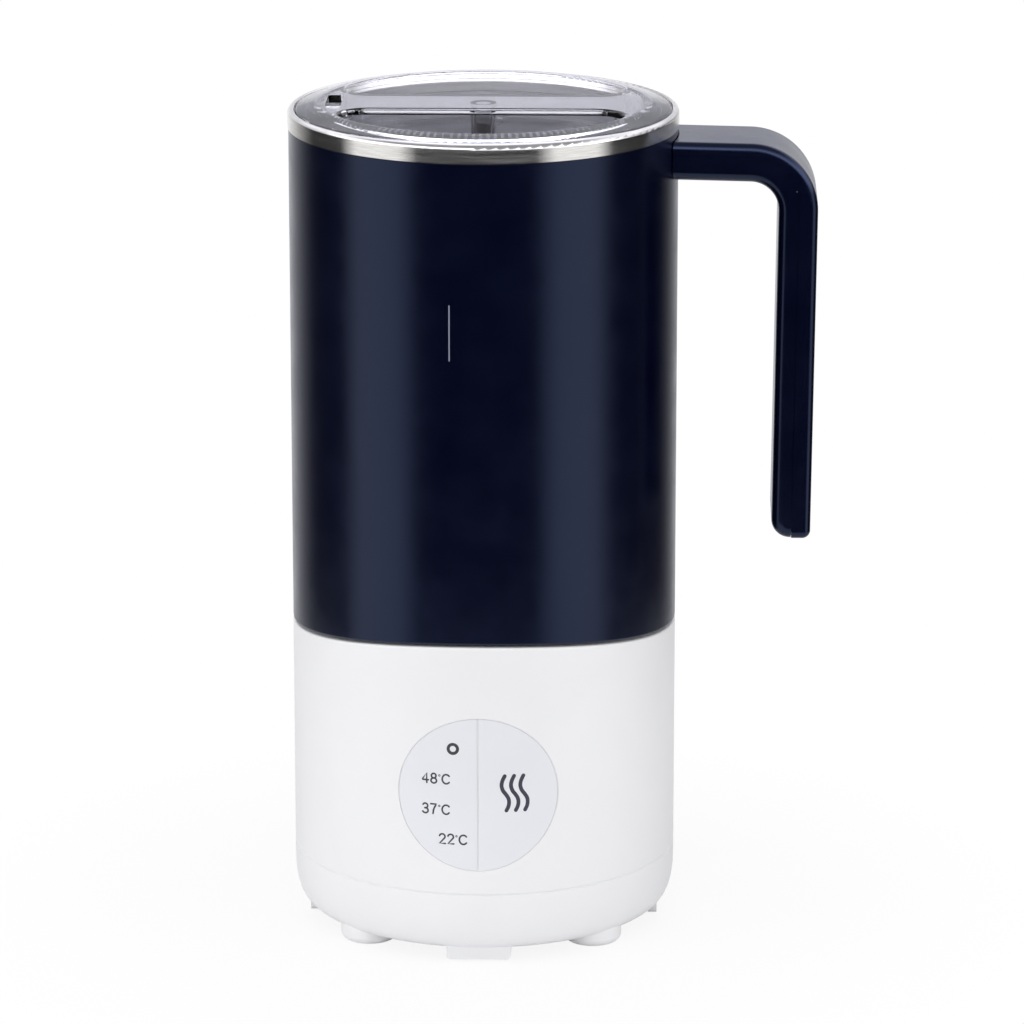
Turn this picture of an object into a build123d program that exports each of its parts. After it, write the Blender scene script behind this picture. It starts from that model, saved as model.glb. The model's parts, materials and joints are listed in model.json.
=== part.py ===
from build123d import *
import math
import os

# Baby formula maker: a heated magnetic stirring base with a lift-off steel jug and a clear lid.
# Millimetres. +Z is up, the origin lies on the jug's axis in the plane of the four feet,
# the control buttons face -Y and the handle points to +X.

os.makedirs("parts", exist_ok=True)

# ---------------------------------------------------------------- driving dimensions
# Outside
body_radius = 52.5           # base and jug share one outer cylinder
shell_wall = 2.2             # moulded wall of the base and of the jug jacket
underside_height = 3.7       # base underside above the table
split_height = 20.35         # parting line between housing and bottom cover
seat_crown = 90.26           # jug-to-base seam at the front and rear
seat_drop = 6.06             # how far that seam falls towards the handle side
jacket_top = 221.3           # where the navy jacket meets the steel rim
rim_height = 4.9
rim_overhang = 0.2           # steel rim stands this far proud of the jacket
rim_band = 1.75              # thickness of the steel rim
rim_outer_edge = 1.2
rim_inner_edge = 0.45
pot_mouth_edge = 0.7

# Gaps and sizes used throughout
seam_gap = 0.6               # visible seam between jug and base
seam_rounding = 0.6          # rounded edges along that seam
split_gap = 0.25             # visible parting groove
body_clearance = 0.3         # pieces that move past each other
snug = 0.2                   # one moulding inside another
running = 0.06               # radial, shafts and plungers in their bores
screw_pilot = 1.25           # radius of the hole that a small screw cuts its thread in
screw_bite = 5.0             # length of a small screw's thread in its boss
small_edge = 0.5             # rounding of small turned parts
small_head = 1.3             # height of the smallest screws' heads
screw_edge = 0.45            # chamfer round a screw's head
cross_length = 1.1           # cross recess, in head radii
cross_width = 0.3
cross_depth = 0.45           # in head heights
overcut = 1.0                # holes and bosses run this far past the face they meet
match = 0.01                 # edges at the same place agree to this distance

# Base casing
edge_inset = 6.0             # rounded lower edge, inwards
edge_rise = 12.6             # rounded lower edge, upwards
edge_fullness = 0.66
cover_floor = 2.5
lip_thickness = 1.6
lip_height = 2.4
tab_width = 17.5
tab_thickness = 2.4
tab_inset = 4.5              # outer face of the four bottom lips, inside the body's cylinder
tab_bottom = 0.5
tab_corner = 1.2
vent_length = 16.0
vent_width = 2.0
vent_pitch = 5.0
vent_count = 5
foot_radius = 7.9
foot_edge = 2.1
foot_rise = 1.6              # feet above the underside, against the casing's rounded edge
foot_inset = 10.55           # foot centres, inside the body's cylinder
foot_bearing = 43.36         # degrees between the handle's axis and a foot
foot_spigot_radius = 4.6
foot_spigot_height = 2.0
foot_socket_depth = 5.0
column_radius = 4.0
column_rib = 2.0
pillar_radius = 6.2
pillar_top = 14.0
cover_screw_radius = 1.5
cover_screw_head = 2.1
cover_screw_reach = 12.0     # length of the cover screws inside the columns
seat_depth = 17.26           # shelf top below the crown of the seam
shelf_thickness = 2.5
shelf_width = 7.3
tray_screw_angles = (20, 160, 200, 340)
gland_rise = 9.65            # cord outlet above the parting line
gland_bore_radius = 3.1
gland_mouth_radius = 4.2     # the bore flares outwards to this
gland_neck_radius = 5.0
gland_flange_radius = 6.5
gland_flange_proud = 1.0
gland_tail = 6.8             # length of the gland inside the housing wall
gland_edge = 0.6

# Buttons
button_headroom = 0.5        # top of the button disc below the shelf
button_footroom = 7.05       # bottom of the button disc above the parting groove
button_gap = 0.3
button_split = 0.4
button_cap = 3.8
button_flange = 1.8          # retaining rim behind the housing wall, beyond the disc
button_travel = 0.6
switch_inset = 5.7           # switch centres, inside the disc's edge
switch_size = 5.0
switch_bore_depth = 2.6
switch_proud = 1.0           # the button's stem starts this far before its switch
stem_radius = 2.2
plunger_radius = 1.5
button_root = 0.9            # pins and stems reach this far into the button's cap
guide_inset = 2.76           # guide pins, inside the disc's edge
guide_bearing = 49.4         # degrees between the disc's level diameter and a guide pin
guide_radius = 1.0
frame_gap = 0.45             # pressed button to frame
frame_thickness = 2.0
frame_side = 3.0             # frame beyond its screws, sideways
frame_end = 2.5              # frame beyond its screws, up and down
frame_post_radius = 2.5
frame_post_gap = 1.37        # frame posts to the button's rim
frame_corner_radius = 2.4
frame_screw_radius = 0.9
frame_screw_bite = 3.0
board_gap = 2.0
board_thickness = 1.6
light_rise = 12.4            # outer pair of lights, above and below the disc's centre
light_step = 4.3             # inner pair
light_outer_inset = 9.0      # outer pair, inwards from the switch
light_inner_inset = 4.4
light_heat_inset = 5.4
light_radius = 0.8
light_width = 2.8
light_depth = 2.0
light_base = 1.2

# Drive and heating
tray_floor = 3.0
tray_wall = 1.2
tray_screw_bite = 2.2
plateau_gap = 1.5            # plateau inside the hole of the jug's bottom ring
plateau_height = 2.7
plateau_wall = 2.2
coil_inner = 14.5
coil_turns = 5
coil_height = 3.2
coil_step = 0.4              # every other turn lies this much lower
coil_gap = 0.1               # coil to the sensor's seal
lead_radius = 0.75
lead_offset = 3.5            # coil leads beyond the coil's edge
lead_bearings = (196, 206)
carrier_lap = 2.0            # carrier beyond the plateau
carrier_thickness = 2.2
carrier_bore = 13.5
carrier_screw_shank = 1.0
carrier_screw_angles = (30, 150, 270)
ferrite_length = 9.0
ferrite_width = 5.0
ferrite_height = 3.0
ferrite_count = 6
rotor_radius = 11.5
rotor_height = 5.0
rotor_gap = 1.0              # below the tray plateau
rotor_boss_radius = 3.0
rotor_boss_height = 2.5
drive_magnet_radius = 3.5
drive_magnet_height = 3.0
drive_magnet_offset = 7.0
shaft_radius = 1.0
shaft_end = 7.5              # shaft below the bracket
shaft_cover = 0.5            # hub's top above the shaft
motor_radius = 12.2
motor_boss_radius = 3.0
motor_boss_height = 1.6
motor_screw_offset = 8.0
motor_screw_shank = 1.2
motor_screw_bite = 3.5
motor_edge = 1.0
end_cap_inset = 1.4
end_cap_height = 2.0
terminal_reach = 2.0         # motor terminals below the end cap
terminal_offset = 8.0
terminal_blade = 0.8
terminal_blade_width = 2.0
motor_lead_radius = 0.55
under_motor = 16.4           # room for components between power board and motor
bracket_drop = 8.0           # motor bracket below the shelf
bracket_thickness = 2.0
bracket_lap = 1.5            # bracket screws outside the shelf's inner edge
bracket_rim = 3.0            # bracket plate beyond the motor
bracket_arm_width = 10.0
bracket_corner = 1.0
bracket_boss_radius = 3.5
sensor_radius = 1.6
sensor_travel = 1.2
sensor_head = 1.5            # thickness of the plunger's shoulder
sensor_guide_gap = 1.0       # guide around the plunger
sensor_guide_wall = 1.2
sensor_seal_wall = 1.3
spring_wire = 0.7
sensor_spring_closed = 3.3   # length of the sensor's spring when the plunger is fully down

# Power electronics
board_height = 14.0
board_clearance = 2.25       # power board to the cover's pillars
board_margin = 5.2           # power board's screws, inside its edge
board_post_radius = 3.2
terminal_width = 14.0
terminal_depth = 8.0
terminal_height = 9.0
terminal_inset = 3.5         # terminal block, inside the board's edge
terminal_screw_radius = 1.6
terminal_wire_radius = 1.5
choke_radius = 7.1
choke_core_width = 4.6
choke_height = 6.8
choke_x = -20.0
choke_y = 3.0
choke_windings = 9
choke_split = 20            # degrees left free on each side of the winding's ends
capacitor_radius = 5.0
capacitor_height = 13.0
capacitor_x = 20.0
capacitor_pitch = 13.0
sink_width = 26.0
sink_height = 11.0
sink_plate = 2.0
sink_fin_length = 6.0
sink_fin = 1.0
sink_fins = 7
sink_y = -18.0
transistor_width = 10.0
transistor_height = 9.0
transistor_lift = 1.0
transistor_thickness = 2.2
transformer_width = 14.0
transformer_depth = 13.0
transformer_height = 10.0
transformer_y = 5.5
bobbin_height = 6.0
bobbin_reach = 2.0           # winding beyond the core, front and rear
bobbin_inset = 1.5
ribbon_width = 12.0
ribbon_thickness = 0.8
ribbon_start_height = 31.0
ribbon_bend = 2.5

# Jug
pot_air_gap = 3.5            # between the steel pot and the jacket
pot_wall = 0.8
pot_corner = 5.0
pot_floor_gap = 0.3          # pot underside above the tray plateau
ring_wall = 1.5
ring_floor = 1.7
ring_width = 10.8            # bottom ring under the pot
ring_corner = 1.0
gasket_width = 4.0
gasket_inset = 1.0
snap_rise = 5.0              # snap groove above the crown of the seam
snap_width = 2.0
snap_depth = 0.6
lid_ledge_height = 2.9       # lid ledge above the jacket top
arm_width = 26.4
arm_inner_bend = 7.7         # inside radius of the handle's bend
arm_thickness = 10.6
arm_reach = 19.2             # centre of the bend outside the jacket
arm_drop = 2.5               # top of the bend below the jacket top
arm_droop = 1.2              # degrees, falling away from the jug
grip_lean = 0.62             # degrees, leaning towards the jug at its free end
grip_length = 90.9
grip_inner_corner = 5.0
grip_outer_corner = 2.2
arm_edge = 2.0               # rounding along the handle's outer face
arm_inner_edge = 3.0         # rounding along the face that the fingers meet
arm_seam = 3.6               # depth of the handle's parting line below its outer face, on the arm
grip_seam = 5.2              # and on the grip
arm_seam_gap = 0.12
arm_wall = 2.2
arm_screw_inset = 6.0        # first handle screw outside the jacket
arm_screw_pitch = 10.0
arm_boss_radius = 3.4
arm_screw_shank = 1.2
arm_screw_recess = 1.8
root_sink = 2.0              # handle root is shaped from this far inside the jacket
root_gap = 0.25
bracket_strip = 1.5
bracket_width = 14.0
bracket_plate = 1.3
bracket_plate_drop = 8.0
bracket_plate_height = 13.0
bracket_end = 4.2            # strip beyond its last screw

# Lid
lid_side_gap = 0.25          # lid edge inside the steel rim
lid_clearance = 0.3
lid_rise = 1.4               # lid crown above the steel rim
lid_edge_drop = 1.1
lid_edge_side = 1.2
lid_shoulder = 1.6
lid_plate = 2.1
well_depth = 12.5
well_corner = 8.0
well_wall = 2.0
well_edge = 0.7
bar_width = 20.0
lid_post_radius = 3.5
lid_post_bore = 2.0
lid_post_length = 13.0
lid_post_taper = 2.0
slot_inset = 2.9             # pouring slot, inside the wells' circle
slot_length = 15.0
slot_width = 4.2
vent_x = 4.4
vent_radius = 0.9
vent_drop = 1.4
seal_space = 1.0             # wells' wall to the pot
seal_rise = 2.0              # seal above the wells' floor
seal_height = 3.6
seal_rib = 1.0

# Stirrer
stirrer_pin_radius = 1.5
stirrer_pin_tip = 1.2
stirrer_pin_height = 16.0
stirrer_pin_foot = 5.0
stirrer_lift = 1.2           # stirrer above the pot's floor
stirrer_radius = 19.0
stirrer_hub_radius = 12.0
stirrer_hub_height = 6.0
stirrer_sleeve_radius = 3.6
stirrer_cap_edge = 1.44
stirrer_sleeve_cap = 2.5
stirrer_ring = 1.6
stirrer_ring_height = 2.4
stirrer_blades = 4
stirrer_blade_height = 9.0
stirrer_magnet_offset = 7.5
stirrer_magnet_angles = (45, 225)
stirrer_magnet_radius = 3.0
stirrer_magnet_height = 3.0

# ---------------------------------------------------------------- derived sizes
shell_inner = body_radius - shell_wall
seat_arc = (body_radius**2 + seat_drop**2) / (2 * seat_drop)
seat_arc_centre = seat_crown - seat_arc
shelf_top = seat_crown - seat_depth
shelf_bottom = shelf_top - shelf_thickness
shelf_inner = shell_inner - shelf_width
cover_floor_top = underside_height + cover_floor
lip_outer = shell_inner - snug
lip_inner = lip_outer - lip_thickness
cover_top = split_height - split_gap / 2
housing_bottom = split_height + split_gap / 2
tab_radius = body_radius - tab_inset
foot_reach = body_radius - foot_inset
foot_x = foot_reach * math.cos(math.radians(foot_bearing))
foot_y = foot_reach * math.sin(math.radians(foot_bearing))
foot_centres = [(x, y) for x in (-foot_x, foot_x) for y in (-foot_y, foot_y)]
cover_screw_seat = underside_height + foot_socket_depth
gland_height = split_height + gland_rise

# jug and lid, from the jacket inwards
pot_outer = shell_inner - pot_air_gap
pot_radius = pot_outer - pot_wall
ring_hole_radius = pot_outer - ring_width
ring_inner = pot_outer + snug / 2
ring_outer = ring_inner + ring_wall
snap_height = seat_crown + snap_rise
rim_radius = body_radius + rim_overhang
rim_top = jacket_top + rim_height
ledge_height = jacket_top + lid_ledge_height
lid_ledge_radius = rim_radius - rim_band
lid_radius = lid_ledge_radius - lid_side_gap
lid_crown = rim_top + lid_rise
lid_edge_top = lid_crown - lid_edge_drop
lid_underside = ledge_height + lid_clearance
well_radius = pot_radius - seal_space - well_wall
well_floor = lid_crown - well_depth
seal_bottom = well_floor + seal_rise

# jug seat, coil and sensor
tray_outer = shell_inner - snug
tray_inner = tray_outer - tray_wall
tray_top = shelf_top + tray_floor
plateau_radius = ring_hole_radius - plateau_gap
plateau_top = tray_top + plateau_height
plateau_underside = plateau_top - plateau_wall
cavity_radius = plateau_radius - plateau_wall
ring_bottom = tray_top + body_clearance
pot_bottom = plateau_top + pot_floor_gap
pot_floor_top = pot_bottom + pot_wall
grommet_radius = sensor_radius + body_clearance + sensor_seal_wall
sensor_offset = cavity_radius - grommet_radius - body_clearance
coil_outer = sensor_offset - grommet_radius - coil_gap
carrier_radius = plateau_radius + carrier_lap
carrier_top = shelf_top
carrier_bottom = carrier_top - carrier_thickness
carrier_screw_radius = plateau_radius - snug
sensor_top = plateau_top
sensor_shoulder = carrier_bottom - body_clearance - snug
spring_top = sensor_shoulder - sensor_head
spring_floor = spring_top - sensor_spring_closed - sensor_travel
guide_wall = sensor_radius + sensor_guide_gap

# buttons
button_radius = (shelf_bottom - button_headroom - housing_bottom - button_footroom) / 2
button_height = shelf_bottom - button_headroom - button_radius
button_inner = body_radius - button_cap
button_rim = button_radius + button_flange
guide_x = (button_radius - guide_inset) * math.cos(math.radians(guide_bearing))
guide_z = (button_radius - guide_inset) * math.sin(math.radians(guide_bearing))
switch_x = button_radius - switch_inset
frame_corner = (button_rim + frame_post_radius + frame_post_gap) / math.sqrt(2)
frame_width = 2 * (frame_corner + frame_side)
frame_height = 2 * (frame_corner + frame_end)
frame_front = math.sqrt(button_inner**2 - frame_width**2 / 4) - button_travel - frame_gap
frame_back = frame_front - frame_thickness
frame_post_front = math.sqrt(shell_inner**2 - frame_corner**2) + shell_wall / 2
frame_centres = [
    (x, button_height + z) for x in (-frame_corner, frame_corner) for z in (-frame_corner, frame_corner)
]
control_board_front = frame_back - board_gap
control_board_back = control_board_front - board_thickness
switch_front = frame_front - body_clearance
plunger_front = switch_front + switch_proud
light_centres = [
    (light_outer_inset - switch_x, button_height + light_rise),
    (light_inner_inset - switch_x, button_height + light_step),
    (light_inner_inset - switch_x, button_height - light_step),
    (light_outer_inset - switch_x, button_height - light_rise),
    (switch_x - light_heat_inset, button_height),
]

# drive and power board
bracket_top = shelf_bottom - bracket_drop
bracket_bottom = bracket_top - bracket_thickness
bracket_screw_radius = shelf_inner + bracket_lap
board_top = board_height + board_thickness
motor_bottom = board_top + under_motor
rotor_top = plateau_underside - rotor_gap
rotor_bottom = rotor_top - rotor_height
power_board_radius = foot_reach - pillar_radius - board_clearance
board_post = (power_board_radius - board_margin) / math.sqrt(2)
board_centres = [(x, y) for x in (-board_post, board_post) for y in (-board_post, board_post)]
stirrer_bottom = pot_floor_top + stirrer_lift

# handle
arm_outer_bend = arm_inner_bend + arm_thickness
arm_centre_bend = arm_inner_bend + arm_thickness / 2
bend_x = body_radius + arm_reach
bend_z = jacket_top - arm_drop - arm_outer_bend
arm_normal = (math.sin(math.radians(arm_droop)), math.cos(math.radians(arm_droop)))
grip_normal = (math.cos(math.radians(grip_lean)), -math.sin(math.radians(grip_lean)))
grip_end = bend_z - grip_length
strip_centre = bend_z + arm_centre_bend
screw_bosses = [(body_radius + arm_screw_inset + n * arm_screw_pitch, 0) for n in range(2)]


# ---------------------------------------------------------------- helpers
def post(radius, bottom, top, centres=((0, 0),), mode=Mode.ADD):
    """Upright round posts, or holes, between two heights."""
    with Locations(*[(x, y, bottom) for x, y in centres]):
        Cylinder(radius, top - bottom, align=(Align.CENTER, Align.CENTER, Align.MIN), mode=mode)


def level_post(radius, front, back, centres, mode=Mode.ADD):
    """Round posts, or holes, along Y. front and back are distances from the axis towards the buttons."""
    with Locations(*[Location((x, -back, z), (90, 0, 0)) for x, z in centres]):
        Cylinder(radius, front - back, align=(Align.CENTER, Align.CENTER, Align.MIN), mode=mode)


def block(x, y, z, mode=Mode.ADD):
    """A box between two limits along each axis."""
    with Locations((sum(x) / 2, sum(y) / 2, sum(z) / 2)):
        Box(x[1] - x[0], y[1] - y[0], z[1] - z[0], mode=mode)


def ring_centres(radius, angles):
    """Points on a circle about the axis."""
    return [(radius * math.cos(math.radians(a)), radius * math.sin(math.radians(a))) for a in angles]


def seat_saddle(offset):
    """A bar along Y whose top is the arc of the jug-to-base seam, raised by an offset."""
    with BuildPart() as saddle:
        with BuildSketch(Plane.XZ):
            with Locations((0, seat_arc_centre)):
                Circle(seat_arc + offset)
        extrude(amount=2 * body_radius, both=True)
    return saddle.part


def screw(head_radius, head_height, shank_radius, length):
    """A pan-head screw standing on its head, its shank pointing up, seated at z = 0."""
    with BuildPart() as pan_screw:
        with BuildSketch(Plane.XZ):
            with BuildLine():
                Polyline((0, -head_height), (head_radius - screw_edge, -head_height),
                         (head_radius, -head_height + screw_edge), (head_radius, 0), (shank_radius, 0),
                         (shank_radius, length - shank_radius / 2), (shank_radius / 2, length), (0, length),
                         close=True)
            make_face()
        revolve(axis=Axis.Z)
        with BuildSketch(Plane.XY.offset(-head_height)):
            Rectangle(head_radius * cross_length, head_radius * cross_width)
            Rectangle(head_radius * cross_width, head_radius * cross_length)
        extrude(amount=head_height * cross_depth, mode=Mode.SUBTRACT)
    return pan_screw.part


# ---------------------------------------------------------------- base: casing
with BuildPart() as bottom_cover:
    edge_top = underside_height + edge_rise
    inner_edge = edge_top - cover_floor
    with BuildSketch(Plane.XZ):
        with BuildLine():
            Line((0, underside_height), (body_radius - edge_inset, underside_height))
            Bezier((body_radius - edge_inset, underside_height),
                   (body_radius - edge_inset * (1 - edge_fullness), underside_height),
                   (body_radius, edge_top - edge_rise * edge_fullness),
                   (body_radius, edge_top))
            Polyline((body_radius, edge_top), (body_radius, cover_top - snug),
                     (body_radius - snug, cover_top),
                     (lip_outer, cover_top), (lip_outer, cover_top + lip_height),
                     (lip_inner, cover_top + lip_height), (lip_inner, edge_top),
                     (lip_inner, inner_edge))
            Bezier((lip_inner, inner_edge),
                   (lip_inner, inner_edge - (inner_edge - cover_floor_top) * edge_fullness),
                   (lip_inner - edge_inset * (1 - edge_fullness), cover_floor_top),
                   (lip_inner - edge_inset, cover_floor_top))
            Polyline((lip_inner - edge_inset, cover_floor_top), (0, cover_floor_top), (0, underside_height))
        make_face()
    revolve(axis=Axis.Z)
    post(pillar_radius, underside_height, pillar_top, foot_centres)
    post(foot_spigot_radius, underside_height, cover_screw_seat, foot_centres, Mode.SUBTRACT)
    post(cover_screw_radius + snug, underside_height, pillar_top, foot_centres, Mode.SUBTRACT)
    post(board_post_radius, cover_floor_top - snug, board_height, board_centres)
    post(screw_pilot, board_height - screw_bite - overcut, board_height, board_centres, Mode.SUBTRACT)
    for quarter in range(4):
        turn = math.radians(90 * quarter)
        radial = (math.cos(turn), math.sin(turn), 0)
        tangent = (-math.sin(turn), math.cos(turn), 0)
        tab_start = tuple((tab_radius - tab_thickness) * c for c in radial)
        tab_root = underside_height + cover_floor / 2
        with BuildSketch(Plane(origin=tab_start, x_dir=tangent, z_dir=radial)):
            with Locations((0, (tab_bottom + tab_root) / 2)):
                RectangleRounded(tab_width, tab_root - tab_bottom, tab_corner)
        extrude(amount=tab_thickness)
    with BuildSketch(Plane.XY.offset(underside_height)):
        with GridLocations(vent_pitch, 0, vent_count, 1):
            SlotOverall(vent_length, vent_width, rotation=90)
    extrude(amount=cover_floor, mode=Mode.SUBTRACT)

with BuildPart() as base_housing:
    with BuildSketch(Plane.XY.offset(housing_bottom)):
        Circle(body_radius)
        Circle(shell_inner, mode=Mode.SUBTRACT)
    extrude(amount=seat_crown - housing_bottom)
    chamfer(edges().filter_by(GeomType.CIRCLE).group_by(Axis.Z)[0].sort_by(SortBy.RADIUS)[-1], snug)
    with BuildSketch(Plane.XY.offset(shelf_bottom)):
        Circle(shell_inner + shell_wall / 2)
        Circle(shelf_inner, mode=Mode.SUBTRACT)
    extrude(amount=shelf_thickness)
    post(column_radius, pillar_top, shelf_top, foot_centres)
    rib_outer = shell_inner + shell_wall / 2
    rib_middle = (foot_reach + rib_outer) / 2
    rib_bottom = cover_top + lip_height + overcut
    for x, y in foot_centres:
        with Locations(Location((x * rib_middle / foot_reach, y * rib_middle / foot_reach, 0),
                                (0, 0, math.degrees(math.atan2(y, x))))):
            with Locations((0, 0, (rib_bottom + shelf_bottom) / 2)):
                Box(rib_outer - foot_reach, column_rib, shelf_bottom - rib_bottom)
    post(cover_screw_radius, pillar_top, pillar_top + cover_screw_reach + screw_bite, foot_centres,
         Mode.SUBTRACT)
    arm_bosses = ring_centres(bracket_screw_radius, (0, 90, 180))
    post(bracket_boss_radius, bracket_top, shelf_bottom + overcut, arm_bosses)
    post(screw_pilot, bracket_top, bracket_top + screw_bite + overcut, arm_bosses, Mode.SUBTRACT)
    tray_screw_centres = ring_centres(shelf_inner + shelf_width / 2, tray_screw_angles)
    post(screw_pilot, shelf_bottom, shelf_top, tray_screw_centres, Mode.SUBTRACT)
    level_post(frame_post_radius, frame_post_front, frame_front, frame_centres)
    level_post(frame_screw_radius, frame_front + frame_screw_bite, frame_front, frame_centres, Mode.SUBTRACT)
    level_post(button_radius + button_gap, body_radius + 1, shell_inner / 2, [(0, button_height)],
               Mode.SUBTRACT)
    level_post(gland_neck_radius, -shell_inner / 2, -body_radius - 1, [(0, gland_height)], Mode.SUBTRACT)
    add(seat_saddle(-seam_gap / 2), mode=Mode.INTERSECT)
    rim_edges = edges().group_by(Axis.Z)[-4:]
    seat_rim = [e for group in rim_edges for e in group if e.length > body_radius]
    fillet([e for e in seat_rim if e.bounding_box().max.Y > body_radius - 1
            or e.bounding_box().min.Y < 1 - body_radius], seam_rounding)

# ---------------------------------------------------------------- base: jug seat
with BuildPart() as seat_tray:
    with BuildSketch(Plane.XZ):
        with BuildLine():
            Polyline((0, plateau_underside), (cavity_radius, plateau_underside), (cavity_radius, shelf_top),
                     (tray_outer, shelf_top), (tray_outer, seat_crown), (tray_inner, seat_crown),
                     (tray_inner, tray_top), (plateau_radius, tray_top), (plateau_radius, plateau_top),
                     (0, plateau_top), close=True)
        make_face()
    revolve(axis=Axis.Z)
    post(grommet_radius, plateau_underside, plateau_top, [(0, sensor_offset)], Mode.SUBTRACT)
    post(screw_pilot, shelf_top, shelf_top + tray_screw_bite, tray_screw_centres, Mode.SUBTRACT)
    carrier_screw_centres = ring_centres(carrier_screw_radius, carrier_screw_angles)
    post(carrier_screw_shank, shelf_top, shelf_top + tray_screw_bite, carrier_screw_centres, Mode.SUBTRACT)
    add(seat_saddle(-seam_gap / 2 - tray_wall), mode=Mode.INTERSECT)

with BuildPart() as sensor_seal:
    post(grommet_radius, plateau_underside, plateau_top, [(0, sensor_offset)])
    post(sensor_radius + body_clearance, plateau_underside, plateau_top, [(0, sensor_offset)], Mode.SUBTRACT)

# ---------------------------------------------------------------- base: heating coil
with BuildPart() as coil_carrier:
    post(carrier_radius, carrier_bottom, carrier_top)
    post(carrier_bore, carrier_bottom, carrier_top, mode=Mode.SUBTRACT)
    post(guide_wall + sensor_guide_wall, spring_floor - sensor_guide_wall, carrier_bottom,
         [(0, sensor_offset)])
    post(guide_wall, spring_floor, carrier_bottom, [(0, sensor_offset)], Mode.SUBTRACT)
    post(sensor_radius + running, carrier_bottom, carrier_top, [(0, sensor_offset)], Mode.SUBTRACT)
    post(sensor_radius / 2, spring_floor - sensor_guide_wall, spring_floor, [(0, sensor_offset)],
         Mode.SUBTRACT)
    post(carrier_screw_shank + snug, carrier_bottom, carrier_top, carrier_screw_centres, Mode.SUBTRACT)
    coil_lead_centres = ring_centres(coil_outer + lead_offset, lead_bearings)
    post(lead_radius + body_clearance, carrier_bottom, carrier_top, coil_lead_centres, Mode.SUBTRACT)

with BuildPart() as induction_coil:
    strand = (coil_outer - coil_inner) / coil_turns
    for turn in range(coil_turns):
        with BuildSketch(Plane.XY.offset(carrier_top)):
            Circle(coil_inner + (turn + 1) * strand)
            Circle(coil_inner + turn * strand, mode=Mode.SUBTRACT)
        extrude(amount=coil_height - coil_step * (turn % 2))

with BuildPart() as ferrite_bars:
    bar_middle = (coil_inner + coil_outer) / 2
    with PolarLocations(bar_middle, ferrite_count):
        with Locations((0, 0, carrier_bottom - ferrite_height / 2)):
            Box(ferrite_length, ferrite_width, ferrite_height)

with BuildPart() as coil_leads:
    for x, y in coil_lead_centres:
        reach = math.hypot(x, y)
        inner = (coil_outer - snug) / reach
        start_height = carrier_top + coil_height / 2
        with BuildLine() as lead_path:
            FilletPolyline((x * inner, y * inner, start_height), (x, y, start_height), (x, y, board_top),
                           radius=2 * lead_radius)
        with BuildSketch(Plane(origin=lead_path.line @ 0, z_dir=lead_path.line % 0)):
            Circle(lead_radius)
        sweep(path=lead_path.line)
    post(coil_outer, carrier_top, carrier_top + coil_height, mode=Mode.SUBTRACT)

# ---------------------------------------------------------------- base: motor and drive
with BuildPart() as motor_bracket:
    with BuildSketch(Plane.XY.offset(bracket_bottom)):
        Circle(motor_radius + bracket_rim)
        for angle in (0, 90, 180):
            with Locations(Rotation(0, 0, angle)):
                with Locations((bracket_screw_radius / 2, 0)):
                    Rectangle(bracket_screw_radius, bracket_arm_width)
            with Locations(ring_centres(bracket_screw_radius, (angle,))[0]):
                Circle(bracket_arm_width / 2)
    extrude(amount=bracket_thickness)
    fillet(edges().filter_by(Axis.Z), bracket_corner)
    post(motor_boss_radius, bracket_bottom, bracket_top, mode=Mode.SUBTRACT)
    motor_screw_centres = [(-motor_screw_offset, 0), (motor_screw_offset, 0)]
    post(motor_screw_shank, bracket_bottom, bracket_top, motor_screw_centres, Mode.SUBTRACT)
    post(screw_pilot + snug, bracket_bottom, bracket_top, arm_bosses, Mode.SUBTRACT)

with BuildPart() as drive_motor:
    post(motor_radius, motor_bottom, bracket_bottom)
    fillet(edges().filter_by(GeomType.CIRCLE), motor_edge)
    post(motor_boss_radius, bracket_bottom - snug, bracket_bottom + motor_boss_height)
    post(shaft_radius + running, bracket_bottom - shaft_end - snug, bracket_top, mode=Mode.SUBTRACT)
    post(motor_screw_shank, bracket_bottom - motor_screw_bite - snug, bracket_bottom,
         motor_screw_centres, Mode.SUBTRACT)

with BuildPart() as motor_end_cap:
    cap_bottom = motor_bottom - end_cap_height
    terminal_end = cap_bottom - terminal_reach
    post(motor_radius - end_cap_inset, cap_bottom, motor_bottom)
    post(motor_boss_radius, cap_bottom - terminal_reach / 2, cap_bottom)
    for x in (-terminal_offset, terminal_offset):
        block((x - terminal_blade_width / 2, x + terminal_blade_width / 2),
              (-terminal_blade / 2, terminal_blade / 2), (terminal_end, cap_bottom))

with BuildPart() as motor_leads:
    for side in (-1, 1):
        with BuildLine() as lead_path:
            lead_height = terminal_end + motor_lead_radius + snug
            lead_x = side * (terminal_offset + 4 * motor_lead_radius)
            lead_y = terminal_blade / 2 + motor_lead_radius
            FilletPolyline((side * terminal_offset, lead_y, lead_height),
                           (lead_x, 3 * lead_y, lead_height), (lead_x, 3 * lead_y, board_top),
                           radius=2 * motor_lead_radius)
        with BuildSketch(Plane(origin=lead_path.line @ 0, z_dir=lead_path.line % 0)):
            Circle(motor_lead_radius)
        sweep(path=lead_path.line)

with BuildPart() as rotor_shaft:
    post(shaft_radius, bracket_bottom - shaft_end, rotor_top - shaft_cover)

with BuildPart() as magnet_hub:
    post(rotor_radius, rotor_bottom, rotor_top)
    fillet(edges().filter_by(GeomType.CIRCLE), small_edge)
    post(rotor_boss_radius, rotor_bottom - rotor_boss_height, rotor_bottom + overcut)
    post(shaft_radius, rotor_bottom - rotor_boss_height, rotor_top - shaft_cover, mode=Mode.SUBTRACT)
    drive_magnet_centres = [(-drive_magnet_offset, 0), (drive_magnet_offset, 0)]
    post(drive_magnet_radius, rotor_top - drive_magnet_height, rotor_top, drive_magnet_centres, Mode.SUBTRACT)

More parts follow.
